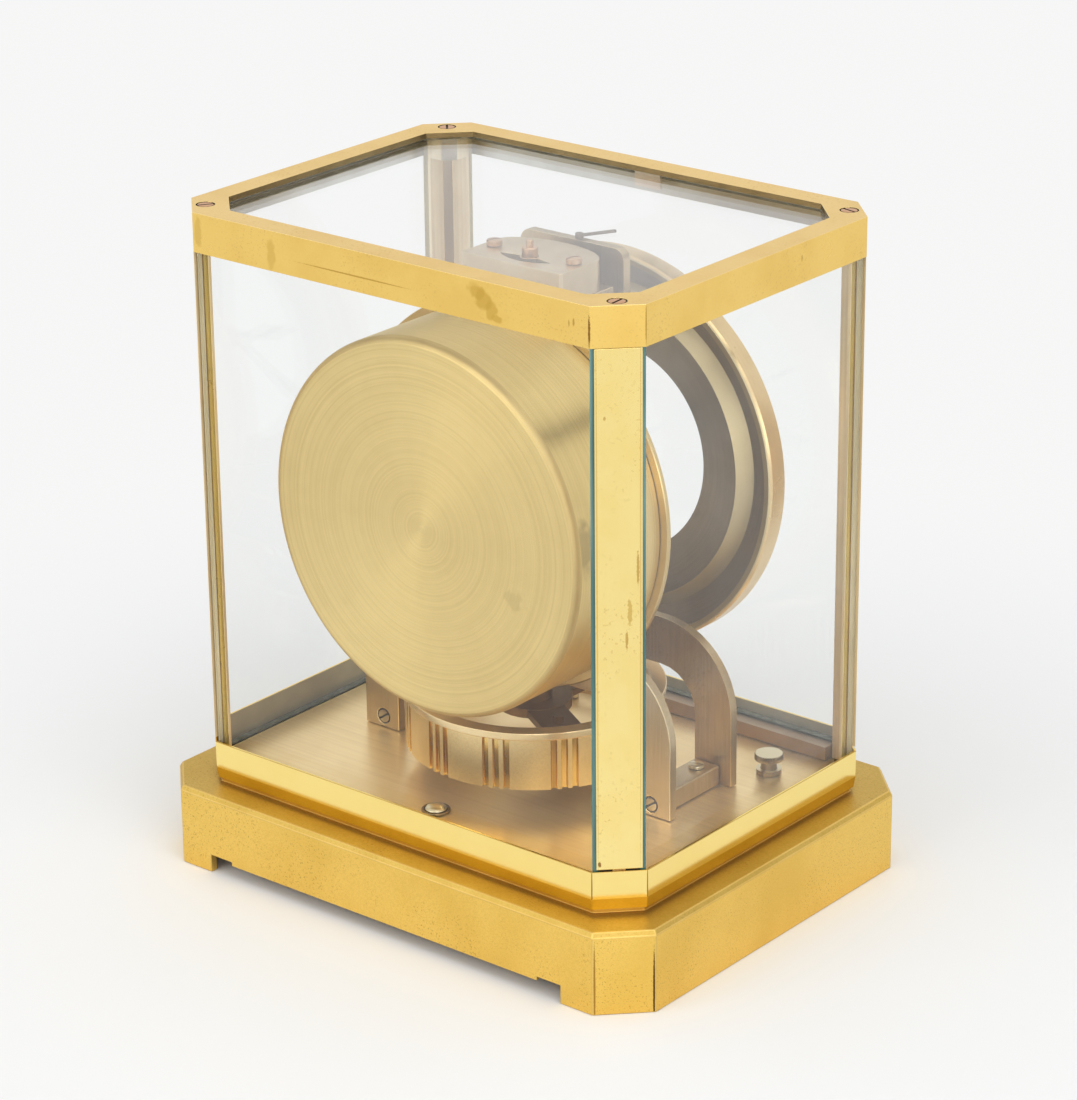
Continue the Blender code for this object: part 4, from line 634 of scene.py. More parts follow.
class Finish(Enum):
    """Finishes of the clock's surfaces."""

    BASE = Metal(
        "brass_base", (0.90, 0.62, 0.155), (0.72, 0.455, 0.08), 0.42, rough_spread=0.16,
        grain_across=2400.0, grain_depth=0.000014, grain_tint=0.5, mottle_scale=26.0, pits=0.5,
        pit_scale=1700.0, pit_colour=(0.44, 0.26, 0.05), marks=BASE_MARKS)
    BASE_EDGE = Metal(
        "brass_base_edge", (0.78, 0.55, 0.165), (0.64, 0.41, 0.09), 0.48, grain_across=1500.0,
        grain_tint=0.4)
    DECK = Metal(
        "brass_base_deck", (0.64, 0.44, 0.112), (0.51, 0.325, 0.06), 0.48, grain_across=1150.0,
        grain_depth=0.000010, grain_tint=0.5, pits=0.3, pit_scale=1500.0)
    # painted shade: darker brass on the seat under the band and along the band's foot
    SEAT = Metal("brass_base_seat", (0.58, 0.34, 0.075), (0.42, 0.22, 0.04), 0.4, grain_tint=0.3)
    # painted shade: darker, more orange copy of the band's brass on its downward slope
    BAND_LOW = Metal(
        "brass_band_low", (0.76, 0.515, 0.095), (0.60, 0.37, 0.05), 0.16, rough_spread=0.06,
        grain=Grain.BRUSHED_X, grain_depth=0.0000012, grain_tint=0.2, mottle_share=0.4)
    BAND_EDGE = Metal("brass_band_edge", (0.62, 0.40, 0.10), (0.44, 0.26, 0.05), grain_tint=0.3)
    BAND = Metal(
        "brass_band", (1.0, 0.79, 0.285), (0.96, 0.70, 0.21), 0.13, rough_spread=0.05,
        grain=Grain.BRUSHED_X, grain_depth=0.0000012, grain_tint=0.08, mottle_share=0.25,
        marks=BAND_MARKS)
    FRAME = Metal(
        "brass_top_frame", (0.93, 0.645, 0.185), (0.83, 0.54, 0.13), 0.29, grain_depth=0.000003,
        grain_across=1500.0, grain_tint=0.2, mottle_share=0.5, mottle_scale=45.0, pits=0.14,
        pit_scale=1500.0, marks=FRAME_MARKS)
    FRAME_EDGE = Metal(
        "brass_frame_edge", (0.97, 0.76, 0.34), (0.88, 0.63, 0.22), 0.26, grain_tint=0.2)
    # painted shade: dark brown on the rim's inner wall over the top pane
    FRAME_WALL = Metal(
        "brass_frame_wall", (0.30, 0.22, 0.105), (0.20, 0.14, 0.06), grain=Grain.BRUSHED_X,
        grain_tint=0.3, mottle_scale=90.0)
    FRAME_INSIDE = Metal(
        "brass_frame_inside", (0.62, 0.605, 0.56), (0.46, 0.445, 0.40), 0.32, grain=Grain.BRUSHED_X,
        grain_tint=0.3, mottle_scale=90.0, dust=0.2)
    FRAME_TOP = Metal(
        "brass_frame_top", (0.88, 0.61, 0.195), (0.78, 0.51, 0.135), 0.32, grain_across=1500.0,
        grain_tint=0.25, mottle_scale=45.0, pits=0.14, pit_scale=1500.0)
    POST = Metal(
        "brass_post", (1.0, 0.81, 0.325), (0.97, 0.72, 0.235), 0.17, rough_spread=0.06,
        grain=Grain.BRUSHED_Z, grain_depth=0.0000012, mottle_share=0.35, mottle_scale=70.0,
        pits=0.3, pit_scale=800.0, pit_colour=(0.55, 0.36, 0.08), marks=POST_MARKS)
    POST_INSIDE = Metal(
        "brass_post_inside", (0.98, 0.84, 0.57), (0.72, 0.53, 0.30), 0.34, metallic=0.45,
        grain=Grain.BRUSHED_Z, grain_across=500.0, grain_along=6.0, grain_tint=0.7)
    DRUM = turned(
        "brass_drum", (0.86, 0.66, 0.285), (0.62, 0.45, 0.165), 0.40, rough_spread=0.08,
        grain_across=1300.0, grain_depth=0.0000012, grain_tint=0.4, anisotropy=0.7,
        mottle_scale=22.0, mottle_share=0.10, rings=0.13, marks=DRUM_MARKS)
    DRUM_EDGE = turned(
        "brass_drum_edge", (0.74, 0.56, 0.245), (0.60, 0.43, 0.17), 0.52, grain_across=1300.0,
        grain_tint=0.3, anisotropy=0.3)
    COVER = turned(
        "brass_cover", (0.74, 0.56, 0.26), (0.58, 0.42, 0.18), 0.33, anisotropy=0.6, rings=0.3)
    FLOOR = Metal(
        "brass_floor", (1.0, 0.765, 0.40), (0.84, 0.61, 0.29), 0.32, rough_spread=0.14,
        metallic=0.77, grain=Grain.BRUSHED_X, grain_across=900.0, grain_along=12.0,
        grain_depth=0.000005, grain_tint=0.55, anisotropy=0.4, mottle_share=0.35, mottle_scale=50.0)
    PLATE = Metal(
        "bronze_plate", (0.60, 0.46, 0.27), (0.44, 0.32, 0.18), 0.36, grain=Grain.BRUSHED_Z,
        grain_across=1300.0, grain_along=40.0, grain_tint=0.5, mottle_scale=60.0, pits=0.3,
        dust=0.08)
    PLATE_EDGE = Metal(
        "bronze_plate_edge", (0.92, 0.76, 0.48), (0.74, 0.56, 0.32), 0.22, grain_tint=0.2)
    BALANCE = Metal(
        "brass_balance", (0.98, 0.755, 0.385), (0.80, 0.58, 0.265), 0.37, grain_across=1500.0,
        grain_depth=0.000008, grain_tint=0.5, mottle_scale=60.0, dust=0.06)
    FLUTE = Metal(
        "brass_flute", (0.95, 0.68, 0.23), (0.62, 0.38, 0.11), 0.17, rough_spread=0.04,
        grain=Grain.BRUSHED_Z, grain_tint=0.3)
    RIM = turned(
        "brass_rim", (0.96, 0.75, 0.42), (0.80, 0.57, 0.28), 0.26, metallic=0.8,
        turned_about=Axis.Z, turned_centre=BALANCE_CENTRE, grain_tint=0.3, anisotropy=0.4)
    ARMS = Metal(
        "bronze_arms", (0.34, 0.215, 0.11), (0.22, 0.13, 0.06), 0.42, grain_tint=0.3, dust=0.15)
    BLOCK = Metal(
        "brass_block", (0.74, 0.60, 0.40), (0.56, 0.43, 0.26), 0.36, grain=Grain.BRUSHED_X,
        grain_across=1800.0, grain_tint=0.3, mottle_scale=70.0, dust=0.1)
    PALE = Metal(
        "brass_pale", (0.60, 0.47, 0.28), (0.42, 0.31, 0.16), 0.28, grain_across=1500.0,
        grain_tint=0.35, mottle_scale=120.0, dust=0.08)
    # darker brass for the knurled sides and collar of the thumbscrews, as painted shade between and
    # under the knurls; the dome screw's outer ring takes it too
    KNURL = Metal(
        "brass_knurl", (0.36, 0.275, 0.16), (0.22, 0.16, 0.09), grain=Grain.BRUSHED_Z,
        grain_tint=0.4, mottle_scale=200.0)
    FOOT_SCREW = Metal(
        "bronze_foot_screw", (0.46, 0.38, 0.27), (0.30, 0.24, 0.16), 0.25, mottle_scale=300.0)
    ROSE = Metal(
        "brass_rose", (0.70, 0.46, 0.28), (0.50, 0.30, 0.16), grain_tint=0.3, mottle_scale=150.0)
    BAND_INSIDE = Metal(
        "brass_band_inside", (0.62, 0.59, 0.50), (0.46, 0.43, 0.35), 0.5, metallic=0.6,
        mottle_scale=80.0, dust=0.5)
    CONE = turned("brass_cone", (0.68, 0.56, 0.33), (0.56, 0.45, 0.24), 0.5, rings=0.25, dust=0.1)
    DIAL_BACK = turned(
        "brass_dial_back", (0.50, 0.42, 0.325), (0.36, 0.295, 0.22), 0.40, grain_across=1300.0,
        grain_along=8.0, grain_tint=0.3, rings=0.35, dust=0.5)
    HOOP = turned(
        "brass_hoop", (0.85, 0.63, 0.33), (0.70, 0.49, 0.23), 0.28, metallic=0.85, anisotropy=0.4,
        rings=0.2, dust=0.12)
    WHEEL = turned(
        "brass_wheel", (0.80, 0.58, 0.24), (0.64, 0.43, 0.15), 0.24, grain_across=2400.0,
        grain_along=25.0)
    COPPER = Metal(
        "copper_screw", (0.16, 0.06, 0.025), (0.07, 0.026, 0.012), 0.58, metallic=0.5,
        grain_across=1800.0, grain_tint=0.4, mottle_scale=300.0, mottle_share=0.8)
    BROWN = Metal("bronze_brown", (0.20, 0.15, 0.105), (0.12, 0.085, 0.06), 0.4, mottle_scale=300.0)
    SILL = Metal(
        "copper_sill", (0.46, 0.33, 0.22), (0.29, 0.195, 0.12), 0.36, grain=Grain.BRUSHED_X,
        mottle_scale=90.0, dust=0.15)
    CATCH = Metal("brass_catch", (0.74, 0.62, 0.50), (0.58, 0.46, 0.36), 0.35, mottle_scale=200.0)
    STEEL = Metal(
        "steel_fine", (0.52, 0.51, 0.49), (0.36, 0.35, 0.33), 0.26, grain=Grain.BRUSHED_Z,
        mottle_scale=150.0)
    # painted shade: near-black in screw slots and on heads' sides, in the dome screw's groove and in
    # the gap at the posts' feet
    SHADOW_GAP = Coat("gap_dark", (0.035, 0.025, 0.016), (0.06, 0.04, 0.025), 0.5)
    ENAMEL = Coat("enamel_dial", (0.86, 0.84, 0.77), (0.80, 0.77, 0.69), 0.35, hours=True)
    BLACK = Coat("lacquer_black", (0.018, 0.018, 0.02), (0.03, 0.028, 0.028), 0.28)
    PANE = Pane("glass_pane")
    PANE_VEILED = Pane("glass_pane_veiled", dust=0.10, veil=0.06)
    VIAL = Pane("glass_vial", (0.80, 0.90, 0.62), dust=0.0)
    PANE_EDGE = PaneEdge()
    EDGE_PALE = PaneEdge("glass_edge_pale", (0.52, 0.46, 0.31), (0.80, 0.72, 0.53))
    EDGE_DUSTY = PaneEdge("glass_edge_dusty", (0.115, 0.135, 0.115), (0.30, 0.32, 0.29))
    TOP_PANE = TopPane()

    def material(self) -> bpy.types.Material:
        """The finish's material, built at its first use."""
        return bpy.data.materials.get(self.value.name) or self.value.make()


def placed(name: str, data: bpy.types.ID) -> bpy.types.Object:
    """Add an object to the scene.

    Args:
        name: Name of the object.
        data: Its mesh, lamp or camera.

    Returns:
        The object.
    """
    made = bpy.data.objects.new(name, data)
    bpy.context.scene.collection.objects.link(made)
    return made


class Form:
    """Mesh under way, with the shaping steps that the pieces share."""

    def __init__(self, source: Optional[bpy.types.Mesh] = None) -> None:
        """Start empty, or from a copy of a mesh.

        Args:
            source: The mesh to copy.
        """
        self.mesh = bmesh.new()
        if source is not None:
            self.mesh.from_mesh(source)

    @classmethod
    def of_node(cls, node: str) -> "Form":
        """Copy of a solid with its loose triangles merged.

        Args:
            node: Name of the solid.

        Returns:
            The merged form.
        """
        made = cls(frame["nodes"][node].data)
        mesh = made.mesh
        bmesh.ops.remove_doubles(mesh, verts=mesh.verts, dist=MERGE)
        bmesh.ops.dissolve_limit(mesh, angle_limit=FLAT, verts=mesh.verts, edges=mesh.edges)
        return made

    @classmethod
    def spun(cls, profile: Sequence[Pair], centre: Sequence[float], axis: Axis = Axis.Z,
             steps: int = 48, hollow: bool = False) -> "Form":
        """Turn a profile of (radius, height) pairs about an axis.

        Args:
            profile: Pairs from one end of the axis to the other, or a loop clear of it.
            centre: A point on the axis.
            axis: Direction of the axis, Y or Z.
            steps: Faces round the form.
            hollow: True where the profile is a closed loop.

        Returns:
            The turned form.
        """
        made = cls()
        spot = Vector(centre)
        up = axis.vector()
        foot = spot - up * spot[axis.value]
        points = [made.mesh.verts.new(foot + Axis.X.vector() * radius + up * height)
                  for radius, height in profile]
        edges = [made.mesh.edges.new(pair) for pair in zip(points, points[1:])]
        if hollow:
            edges.append(made.mesh.edges.new((points[-1], points[0])))
        bmesh.ops.spin(made.mesh, geom=points + edges, cent=spot, axis=up, angle=math.tau,
                       steps=steps, use_merge=True)
        bmesh.ops.remove_doubles(made.mesh, verts=made.mesh.verts, dist=MERGE)
        return made

    @classmethod
    def raised(cls, outline: Sequence[Pair], low: float, high: float) -> "Form":
        """Raise a plane outline.

        Args:
            outline: X and Y of its corners.
            low: Height of the foot.
            high: Height of the top.

        Returns:
            The raised form.
        """
        made = cls()
        foot = made.mesh.faces.new([made.mesh.verts.new((x, y, low)) for x, y in outline])
        grown = bmesh.ops.extrude_face_region(made.mesh, geom=[foot])
        moved = [item for item in grown["geom"] if isinstance(item, bmesh.types.BMVert)]
        bmesh.ops.translate(made.mesh, verts=moved, vec=(0.0, 0.0, high - low))
        return made

    @classmethod
    def block(cls, low: Vector, high: Vector) -> "Form":
        """Rectangular block between two corners.

        Args:
            low: Corner with the lowest coordinates.
            high: Corner with the highest coordinates.

        Returns:
            The block.
        """
        made = cls()
        bmesh.ops.create_cube(made.mesh, size=1.0)
        bmesh.ops.scale(made.mesh, verts=made.mesh.verts, vec=high - low)
        bmesh.ops.translate(made.mesh, verts=made.mesh.verts, vec=(low + high) / 2)
        return made

    def rounded(self, edges: Sequence[bmesh.types.BMEdge], offset: float,
                segments: int) -> list[Face]:
        """Round some edges, and hand over the new faces."""
        return bmesh.ops.bevel(self.mesh, geom=edges, offset=offset, segments=segments,
                               profile=0.5, affect="EDGES", material=-1,
                               clamp_overlap=True)["faces"]

    def bevelled(self, offset: float, segments: int = 2, crease: float = 25.0) -> "Form":
        """Round every sharp edge, and select the rounds.

        Args:
            offset: Width of a round on either side of its edge.
            segments: Steps across a round.
            crease: Angle in degrees above which an edge is sharp.

        Returns:
            The same form.
        """
        for face in self.mesh.faces:
            face.select = False
        sharp = [edge for edge in self.mesh.edges
                 if edge.is_manifold and edge.calc_face_angle() > math.radians(crease)]
        for face in self.rounded(sharp, offset, segments):
            face.select = True
        return self

    def joined(self, other: "Form") -> None:
        """Take another form in as a separate shell.

        Args:
            other: The other form, which is used up.
        """
        held = other.closed()
        self.mesh.from_mesh(held)
        bpy.data.meshes.remove(held)

    def closed(self) -> bpy.types.Mesh:
        """Turn the form's faces outwards and hand it over as a mesh.

        Returns:
            The mesh.
        """
        bmesh.ops.recalc_face_normals(self.mesh, faces=self.mesh.faces)
        made = bpy.data.meshes.new("form")
        self.mesh.to_mesh(made)
        self.mesh.free()
        return made

    def carved(self, tool: "Form", operation: str = "DIFFERENCE") -> "Form":
        """Cut another form away, or join it.

        Args:
            tool: The other form.
            operation: Kind of boolean.

        Returns:
            A new form.
        """
        holder, cutter = (placed("carving", form.closed()) for form in (self, tool))
        modifier = holder.modifiers.new("carve", "BOOLEAN")
        modifier.operation = operation
        modifier.solver = "EXACT"
        modifier.object = cutter
        graph = bpy.context.evaluated_depsgraph_get()
        graph.update()
        shaped = bpy.data.meshes.new_from_object(holder.evaluated_get(graph))
        for item in (holder, cutter):
            bpy.data.objects.remove(item, do_unlink=True)
        return Form(shaped)


@dataclass(frozen=True)
class Screw:
    """Screw with a slotted head, its top at the top of its solid."""

    radius: float
    height: float
    slot: Pair
    shank: Pair
    turn: float
    crown: float = 0.0
    axis: Axis = Axis.Z
    sink: float = 0.0
    # reach and depth beyond which the head takes painted shade
    painted_shade_reach: Optional[float] = None
    painted_shade_depth: float = 0.0003
    softness: float = 0.25

    def top(self, node: str) -> Vector:
        """Middle of the head's outer face.

        Args:
            node: Solid of the screw.

        Returns:
            The middle.
        """
        low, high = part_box(node)
        spot = (low + high) / 2
        spot[self.axis.value] = high[self.axis.value] - self.sink
        return spot

    def form(self, centre: Vector) -> Form:
        """Shape the screw.

        Args:
            centre: Middle of the head's outer face.

        Returns:
            The screw.
        """
        soft = self.height * self.softness
        under = self.crown + self.height
        shank, length = self.shank
        drops = [(0.0, 0.0), (self.radius * 0.5, self.crown * 0.25),
                 (self.radius - soft, self.crown),
                 (self.radius - soft * 0.3, self.crown + soft * 0.3),
                 (self.radius, self.crown + soft), (self.radius, under), (shank, under),
                 (shank, under + length), (0.0, under + length)]
        up = self.axis.value
        profile = [(radius, centre[up] - drop) for radius, drop in drops]
        high = Vector((self.radius * 1.3,) * 3)
        high[2 if self.axis is Axis.Y else 1] = self.slot[0] / 2
        low = -high
        low[up], high[up] = -(self.slot[1] + self.crown), self.radius
        groove = Form.block(low, high)
        turn = Matrix.Rotation(math.radians(self.turn), 4, self.axis.name)
        bmesh.ops.transform(groove.mesh, verts=groove.mesh.verts,
                            matrix=Matrix.Translation(centre) @ turn)
        return Form.spun(profile, centre, self.axis).carved(groove)

    def gap(self, centre: Vector) -> FacePick:
        """Rule that gives painted shade to the head's side and slot.

        Args:
            centre: Middle of the head's outer face.

        Returns:
            The rule.
        """
        def pick(face: Face) -> int:
            """Pick painted shade beyond the reach, and deep or upright in the slot.

            Args:
                face: A face of the screw.

            Returns:
                Index of its finish.
            """
            arm = face.calc_center_median() - centre
            deep = arm[self.axis.value] < -self.painted_shade_depth
            arm[self.axis.value] = 0.0
            upright = abs(face.normal[self.axis.value]) < 0.4
            return int(deep or upright or arm.length > self.painted_shade_reach)

        return pick


def body_of(node: str) -> str:
    """Name of the body that carries a solid."""
    bodies = frame["record"]["behaviour"]["bodies"]
    return next(body for body, nodes in bodies.items() if node in nodes)


def slot_of(node: str) -> str:
    """Name of a solid's material slot in the record."""
    parts = frame["record"]["subparts"]
    return next(part["material_slot"] for part in parts if part["node"] == node)


def worn(face: Face) -> int:
    """Pick the second finish for the rounded edges."""
    return int(face.select)


def outlook(face: Face) -> float:
    """Measure of how a face looks away from the upright axis: below zero where it looks inwards."""
    return face.normal.xy.dot(face.calc_center_median().xy)


def upright(face: Face) -> bool:
    """Tell whether a face is nearer upright than level."""
    return abs(face.normal.z) < 0.5


def soft_side(radius: float, low: float, high: float, soft: float) -> list[Pair]:
    """Profile of a disc's side with both of its edges cut at a slant."""
    return [(radius - soft, low), (radius, low + soft), (radius, high - soft), (radius - soft, high)]


@dataclass
class Assembly:
    """Group of pieces that are built and dressed together."""

    made: list[bpy.types.Object] = field(default_factory=list)

    def piece(self, name: str, form: Form, finish: Finish, node: str, crease: float = 32.0,
              stands_for: bool = True, extra: Sequence[Finish] = (),
              pick: Optional[FacePick] = None, stretch: Optional[Pair] = None) -> None:
        """Finish a form as a visible piece.

        Args:
            name: Name of the piece.
            form: Its shape, in place.
            finish: Its main finish.
            node: Solid that it stands for, or that carries it.
            crease: Angle in degrees above which an edge stays sharp.
            stands_for: False where the solid stays in view.
            extra: Further finishes, after the main one.
            pick: Rule that gives a face the index of its finish.
            stretch: Y of the end that stays and of the end that the plate moves; the values are not
                used, and a given pair only keeps the piece off the bodies with its place baked in.
        """
        bmesh.ops.recalc_face_normals(form.mesh, faces=form.mesh.faces)
        if pick:
            for face in form.mesh.faces:
                face.material_index = pick(face)
        mesh = form.closed()
        mesh.name = name
        mesh.shade_smooth()
        mesh.set_sharp_from_angle(angle=math.radians(crease))
        made = placed(name, mesh)
        for kind in (finish, *extra):
            mesh.materials.append(kind.material())
        even = made.modifiers.new("even normals", "WEIGHTED_NORMAL")
        even.keep_sharp = True
        even.weight = 60
        if stretch:
            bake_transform(made)
        else:
            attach(made, body_of(node))
        if stands_for:
            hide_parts(node)
        slot_of(node)
        self.made.append(made)
        log.info("%s: %d faces", name, len(mesh.polygons))

    def refined(self, node: str, name: str, finish: Finish, edge: float = 0.0002,
                segments: int = 2, crease: float = 25.0, **rest: object) -> None:
        """Finish a rounded-edge copy of a solid in its place.

        Args:
            node: Name of the solid.
            name: Name of the piece.
            finish: Its main finish.
            edge: Width of the rounds.
            segments: Steps across a round.
            crease: Angle in degrees above which an edge is rounded.
            rest: What else the piece takes.
        """
        form = Form.of_node(node).bevelled(edge, segments, crease)
        self.piece(name, form, finish, node, **rest)

    def screw(self, node: str, name: str, finish: Finish, kind: Screw) -> None:
        """Finish a screw in its solid's place.

        Args:
            node: Name of the solid.
            name: Name of the piece.
            finish: Its finish.
            kind: Its sizes.
        """
        spot = kind.top(node)
        # painted shade on the head's side and slot where the kind gives a reach
        dark = kind.painted_shade_reach is not None
        self.piece(name, kind.form(spot), finish, node, extra=(Finish.SHADOW_GAP,) * dark,
                   pick=kind.gap(spot) if dark else None)


@dataclass
class Casework(Assembly):
    """Base, band, floor, corner posts and top frame."""

    deck_z: float = 0.0274
    seat_z: float = 0.0294
    band_foot: float = 0.0325
    ledge_z: float = 0.0348
    band_shoulder: float = 0.0442
    band_top: float = 0.0447
    post_foot: float = 0.0462
    post_drop: float = 0.0007
    post_hollow: Profile = ((0.070, 0.045), (0.0902, 0.045), (0.0902, 0.0630),
                            (0.0877, 0.0655), (0.070, 0.0655))
    frame_foot: float = 0.2216
    frame_drop: float = 0.00022
    lip_z: float = 0.2259
    pane_low: float = 0.2299
    frame_top: float = 0.2346
    screw_turns: tuple[float, ...] = (57.0, 94.0, 131.0, 168.0)

    def base_face(self, face: Face) -> int:
        """Pick the finish of the base's edges and its deck, and painted shade on the seat under the
        band.

        Args:
            face: A face of the base.

        Returns:
            Index of its finish.
        """
        middle = face.calc_center_median()
        # painted shade on the seat under the band
        if middle.z > self.seat_z:
            return 3
        if middle.z > self.deck_z and face.normal.z > 0.2 and not face.select:
            return 2
        return int(face.select)

    def band_face(self, face: Face) -> int:
        """Pick the finish of the band's inside and its edges, and painted shade on its lower slope
        and along its foot.

        Args:
            face: A face of the band.

        Returns:
            Index of its finish.
        """
        middle = face.calc_center_median()
        inward = outlook(face) < 0.0
        if inward and middle.z > self.ledge_z and upright(face):
            return 1
        if face.select and middle.z > self.band_shoulder:
            return 3
        # painted shade along the band's foot
        if middle.z < self.band_foot and (face.select or face.normal.z < -0.9):
            return 4
        # painted shade on outward faces that look downwards
        return 2 if face.normal.z < -0.1 and not inward else 0

    def frame_face(self, face: Face) -> int:
        """Pick the finish of the top frame's rounds, its top and its wall under the pane, and
        painted shade on its wall over the pane.

        Args:
            face: A face of the top frame.

        Returns:
            Index of its finish.
        """
        middle = face.calc_center_median()
        # painted shade on the inner wall over the pane
        if outlook(face) < -0.01 and upright(face):
            return 2 if middle.z > self.pane_low else 3
        if face.normal.z < -0.5 and middle.z > self.lip_z:
            return 3
        if face.normal.z > 0.9 and middle.z > self.frame_top and not face.select:
            return 4
        return int(face.select and middle.z > self.pane_low)

    def post_face(self, face: Face) -> int:
        """Pick the finish of a post's hollow and of its part in the frame, and painted shade in the
        gap at its foot.

        Args:
            face: A face of the post.

        Returns:
            Index of its finish.
        """
        middle = face.calc_center_median()
        inward = outlook(face) < 0.0
        if inward and middle.z > self.frame_foot:
            return 2
        # painted shade in the gap at the post's foot
        if not inward and middle.z < self.band_top:
            return 3
        return int(inward and max(abs(face.normal.x), abs(face.normal.y)) > 0.9)

    def corner_post(self, corner: str) -> None:
        """Build a corner post, hollowed behind so that thin wings lap the panes.

        Args:
            corner: Name of its corner.
        """
        node = "post_" + corner
        low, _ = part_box(node)
        form = Form.of_node(node)
        for vert in form.mesh.verts:
            if abs(vert.co.z - self.post_foot) < MERGE:
                vert.co.z -= self.post_drop
        hollow = [(math.copysign(x, low.x), math.copysign(y, low.y)) for x, y in self.post_hollow]
        form = form.carved(Form.raised(hollow, low.z - CLEARANCE, self.frame_foot))
        self.piece("corner_" + node, form.bevelled(0.00018), Finish.POST, node,
                   extra=(Finish.POST_INSIDE, Finish.FRAME_INSIDE, Finish.SHADOW_GAP),
                   pick=self.post_face)

    def build(self) -> None:
        """Build every brass piece of the case."""
        self.refined("base_shell", "case_base", Finish.BASE, 0.00035, 3, 20.0,
                     extra=(Finish.BASE_EDGE, Finish.DECK, Finish.SEAT), pick=self.base_face)
        self.refined("plinth_band", "case_band", Finish.BAND, 0.00018, 2, 12.0,
                     extra=(Finish.BAND_INSIDE, Finish.BAND_LOW, Finish.BAND_EDGE, Finish.SEAT),
                     pick=self.band_face)
        self.refined("floor_plate", "case_floor", Finish.FLOOR, 0.00015, 1)
        self.refined("front_sill", "case_sill", Finish.SILL, 0.00025)
        for corner in ("rear_left", "rear_right", "front_left", "front_right"):
            self.corner_post(corner)
        form = Form.of_node("top_frame")
        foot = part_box("top_frame")[0].z
        for vert in form.mesh.verts:
            if vert.co.z < foot + MERGE:
                vert.co.z -= self.frame_drop
        self.piece("case_top_frame", form.bevelled(0.0003, 3, 20.0), Finish.FRAME, "top_frame",
                   extra=(Finish.FRAME_EDGE, Finish.FRAME_WALL, Finish.FRAME_INSIDE,
                          Finish.FRAME_TOP), pick=self.frame_face)
        self.refined("door_catch", "case_door_catch", Finish.CATCH)
        for index, turn in enumerate(self.screw_turns, 1):
            kind = Screw(0.0029, 0.0008, (0.0008, 0.00055), (0.0013, 0.0055), turn, sink=0.0001,
                         painted_shade_reach=0.00265)
            self.screw("top_screw_%d" % index, "frame_screw_%d" % index, Finish.COPPER, kind)


@dataclass
class Glazing(Assembly):
    """Panes of the case, with their green ground edges."""

    clear: float = 0.98
    dark_x: float = -0.08
    dark_y: float = 0.055

    def pane(self, node: str, name: str, finish: Finish, across: Axis) -> None:
        """Dress a pane: clear faces across one axis, and ground edges on the rest.

        Args:
            node: Name of the solid.
            name: Name of the piece.
            finish: Finish of the clear faces.
            across: Axis through the pane.
        """
        def edge(face: Face) -> int:
            """Pick the edge finish by its place: near the rear right post it is dark.

            Args:
                face: A face of the pane.

            Returns:
                Index of its finish.
            """
            if abs(face.normal[across.value]) > self.clear:
                return 0
            middle = face.calc_center_median()
            if across is not Axis.Z and middle.x < self.dark_x and middle.y > self.dark_y:
                return 1
            return 3 if across is not Axis.Z and abs(face.normal.z) > 0.3 else 2

        self.piece(name, Form.of_node(node).bevelled(0.00025, 1, 20.0), finish, node, 20.0,
                   extra=(Finish.PANE_EDGE, Finish.EDGE_PALE, Finish.EDGE_DUSTY), pick=edge)

    def build(self) -> None:
        """Build the five panes."""
        self.pane("side_glass_left", "pane_left", Finish.PANE, Axis.X)
        self.pane("side_glass_right", "pane_right", Finish.PANE_VEILED, Axis.X)
        self.pane("rear_glass", "pane_rear", Finish.PANE, Axis.Y)
        self.pane("front_glass", "pane_front", Finish.PANE, Axis.Y)
        self.pane("top_glass", "pane_top", Finish.TOP_PANE, Axis.Z)


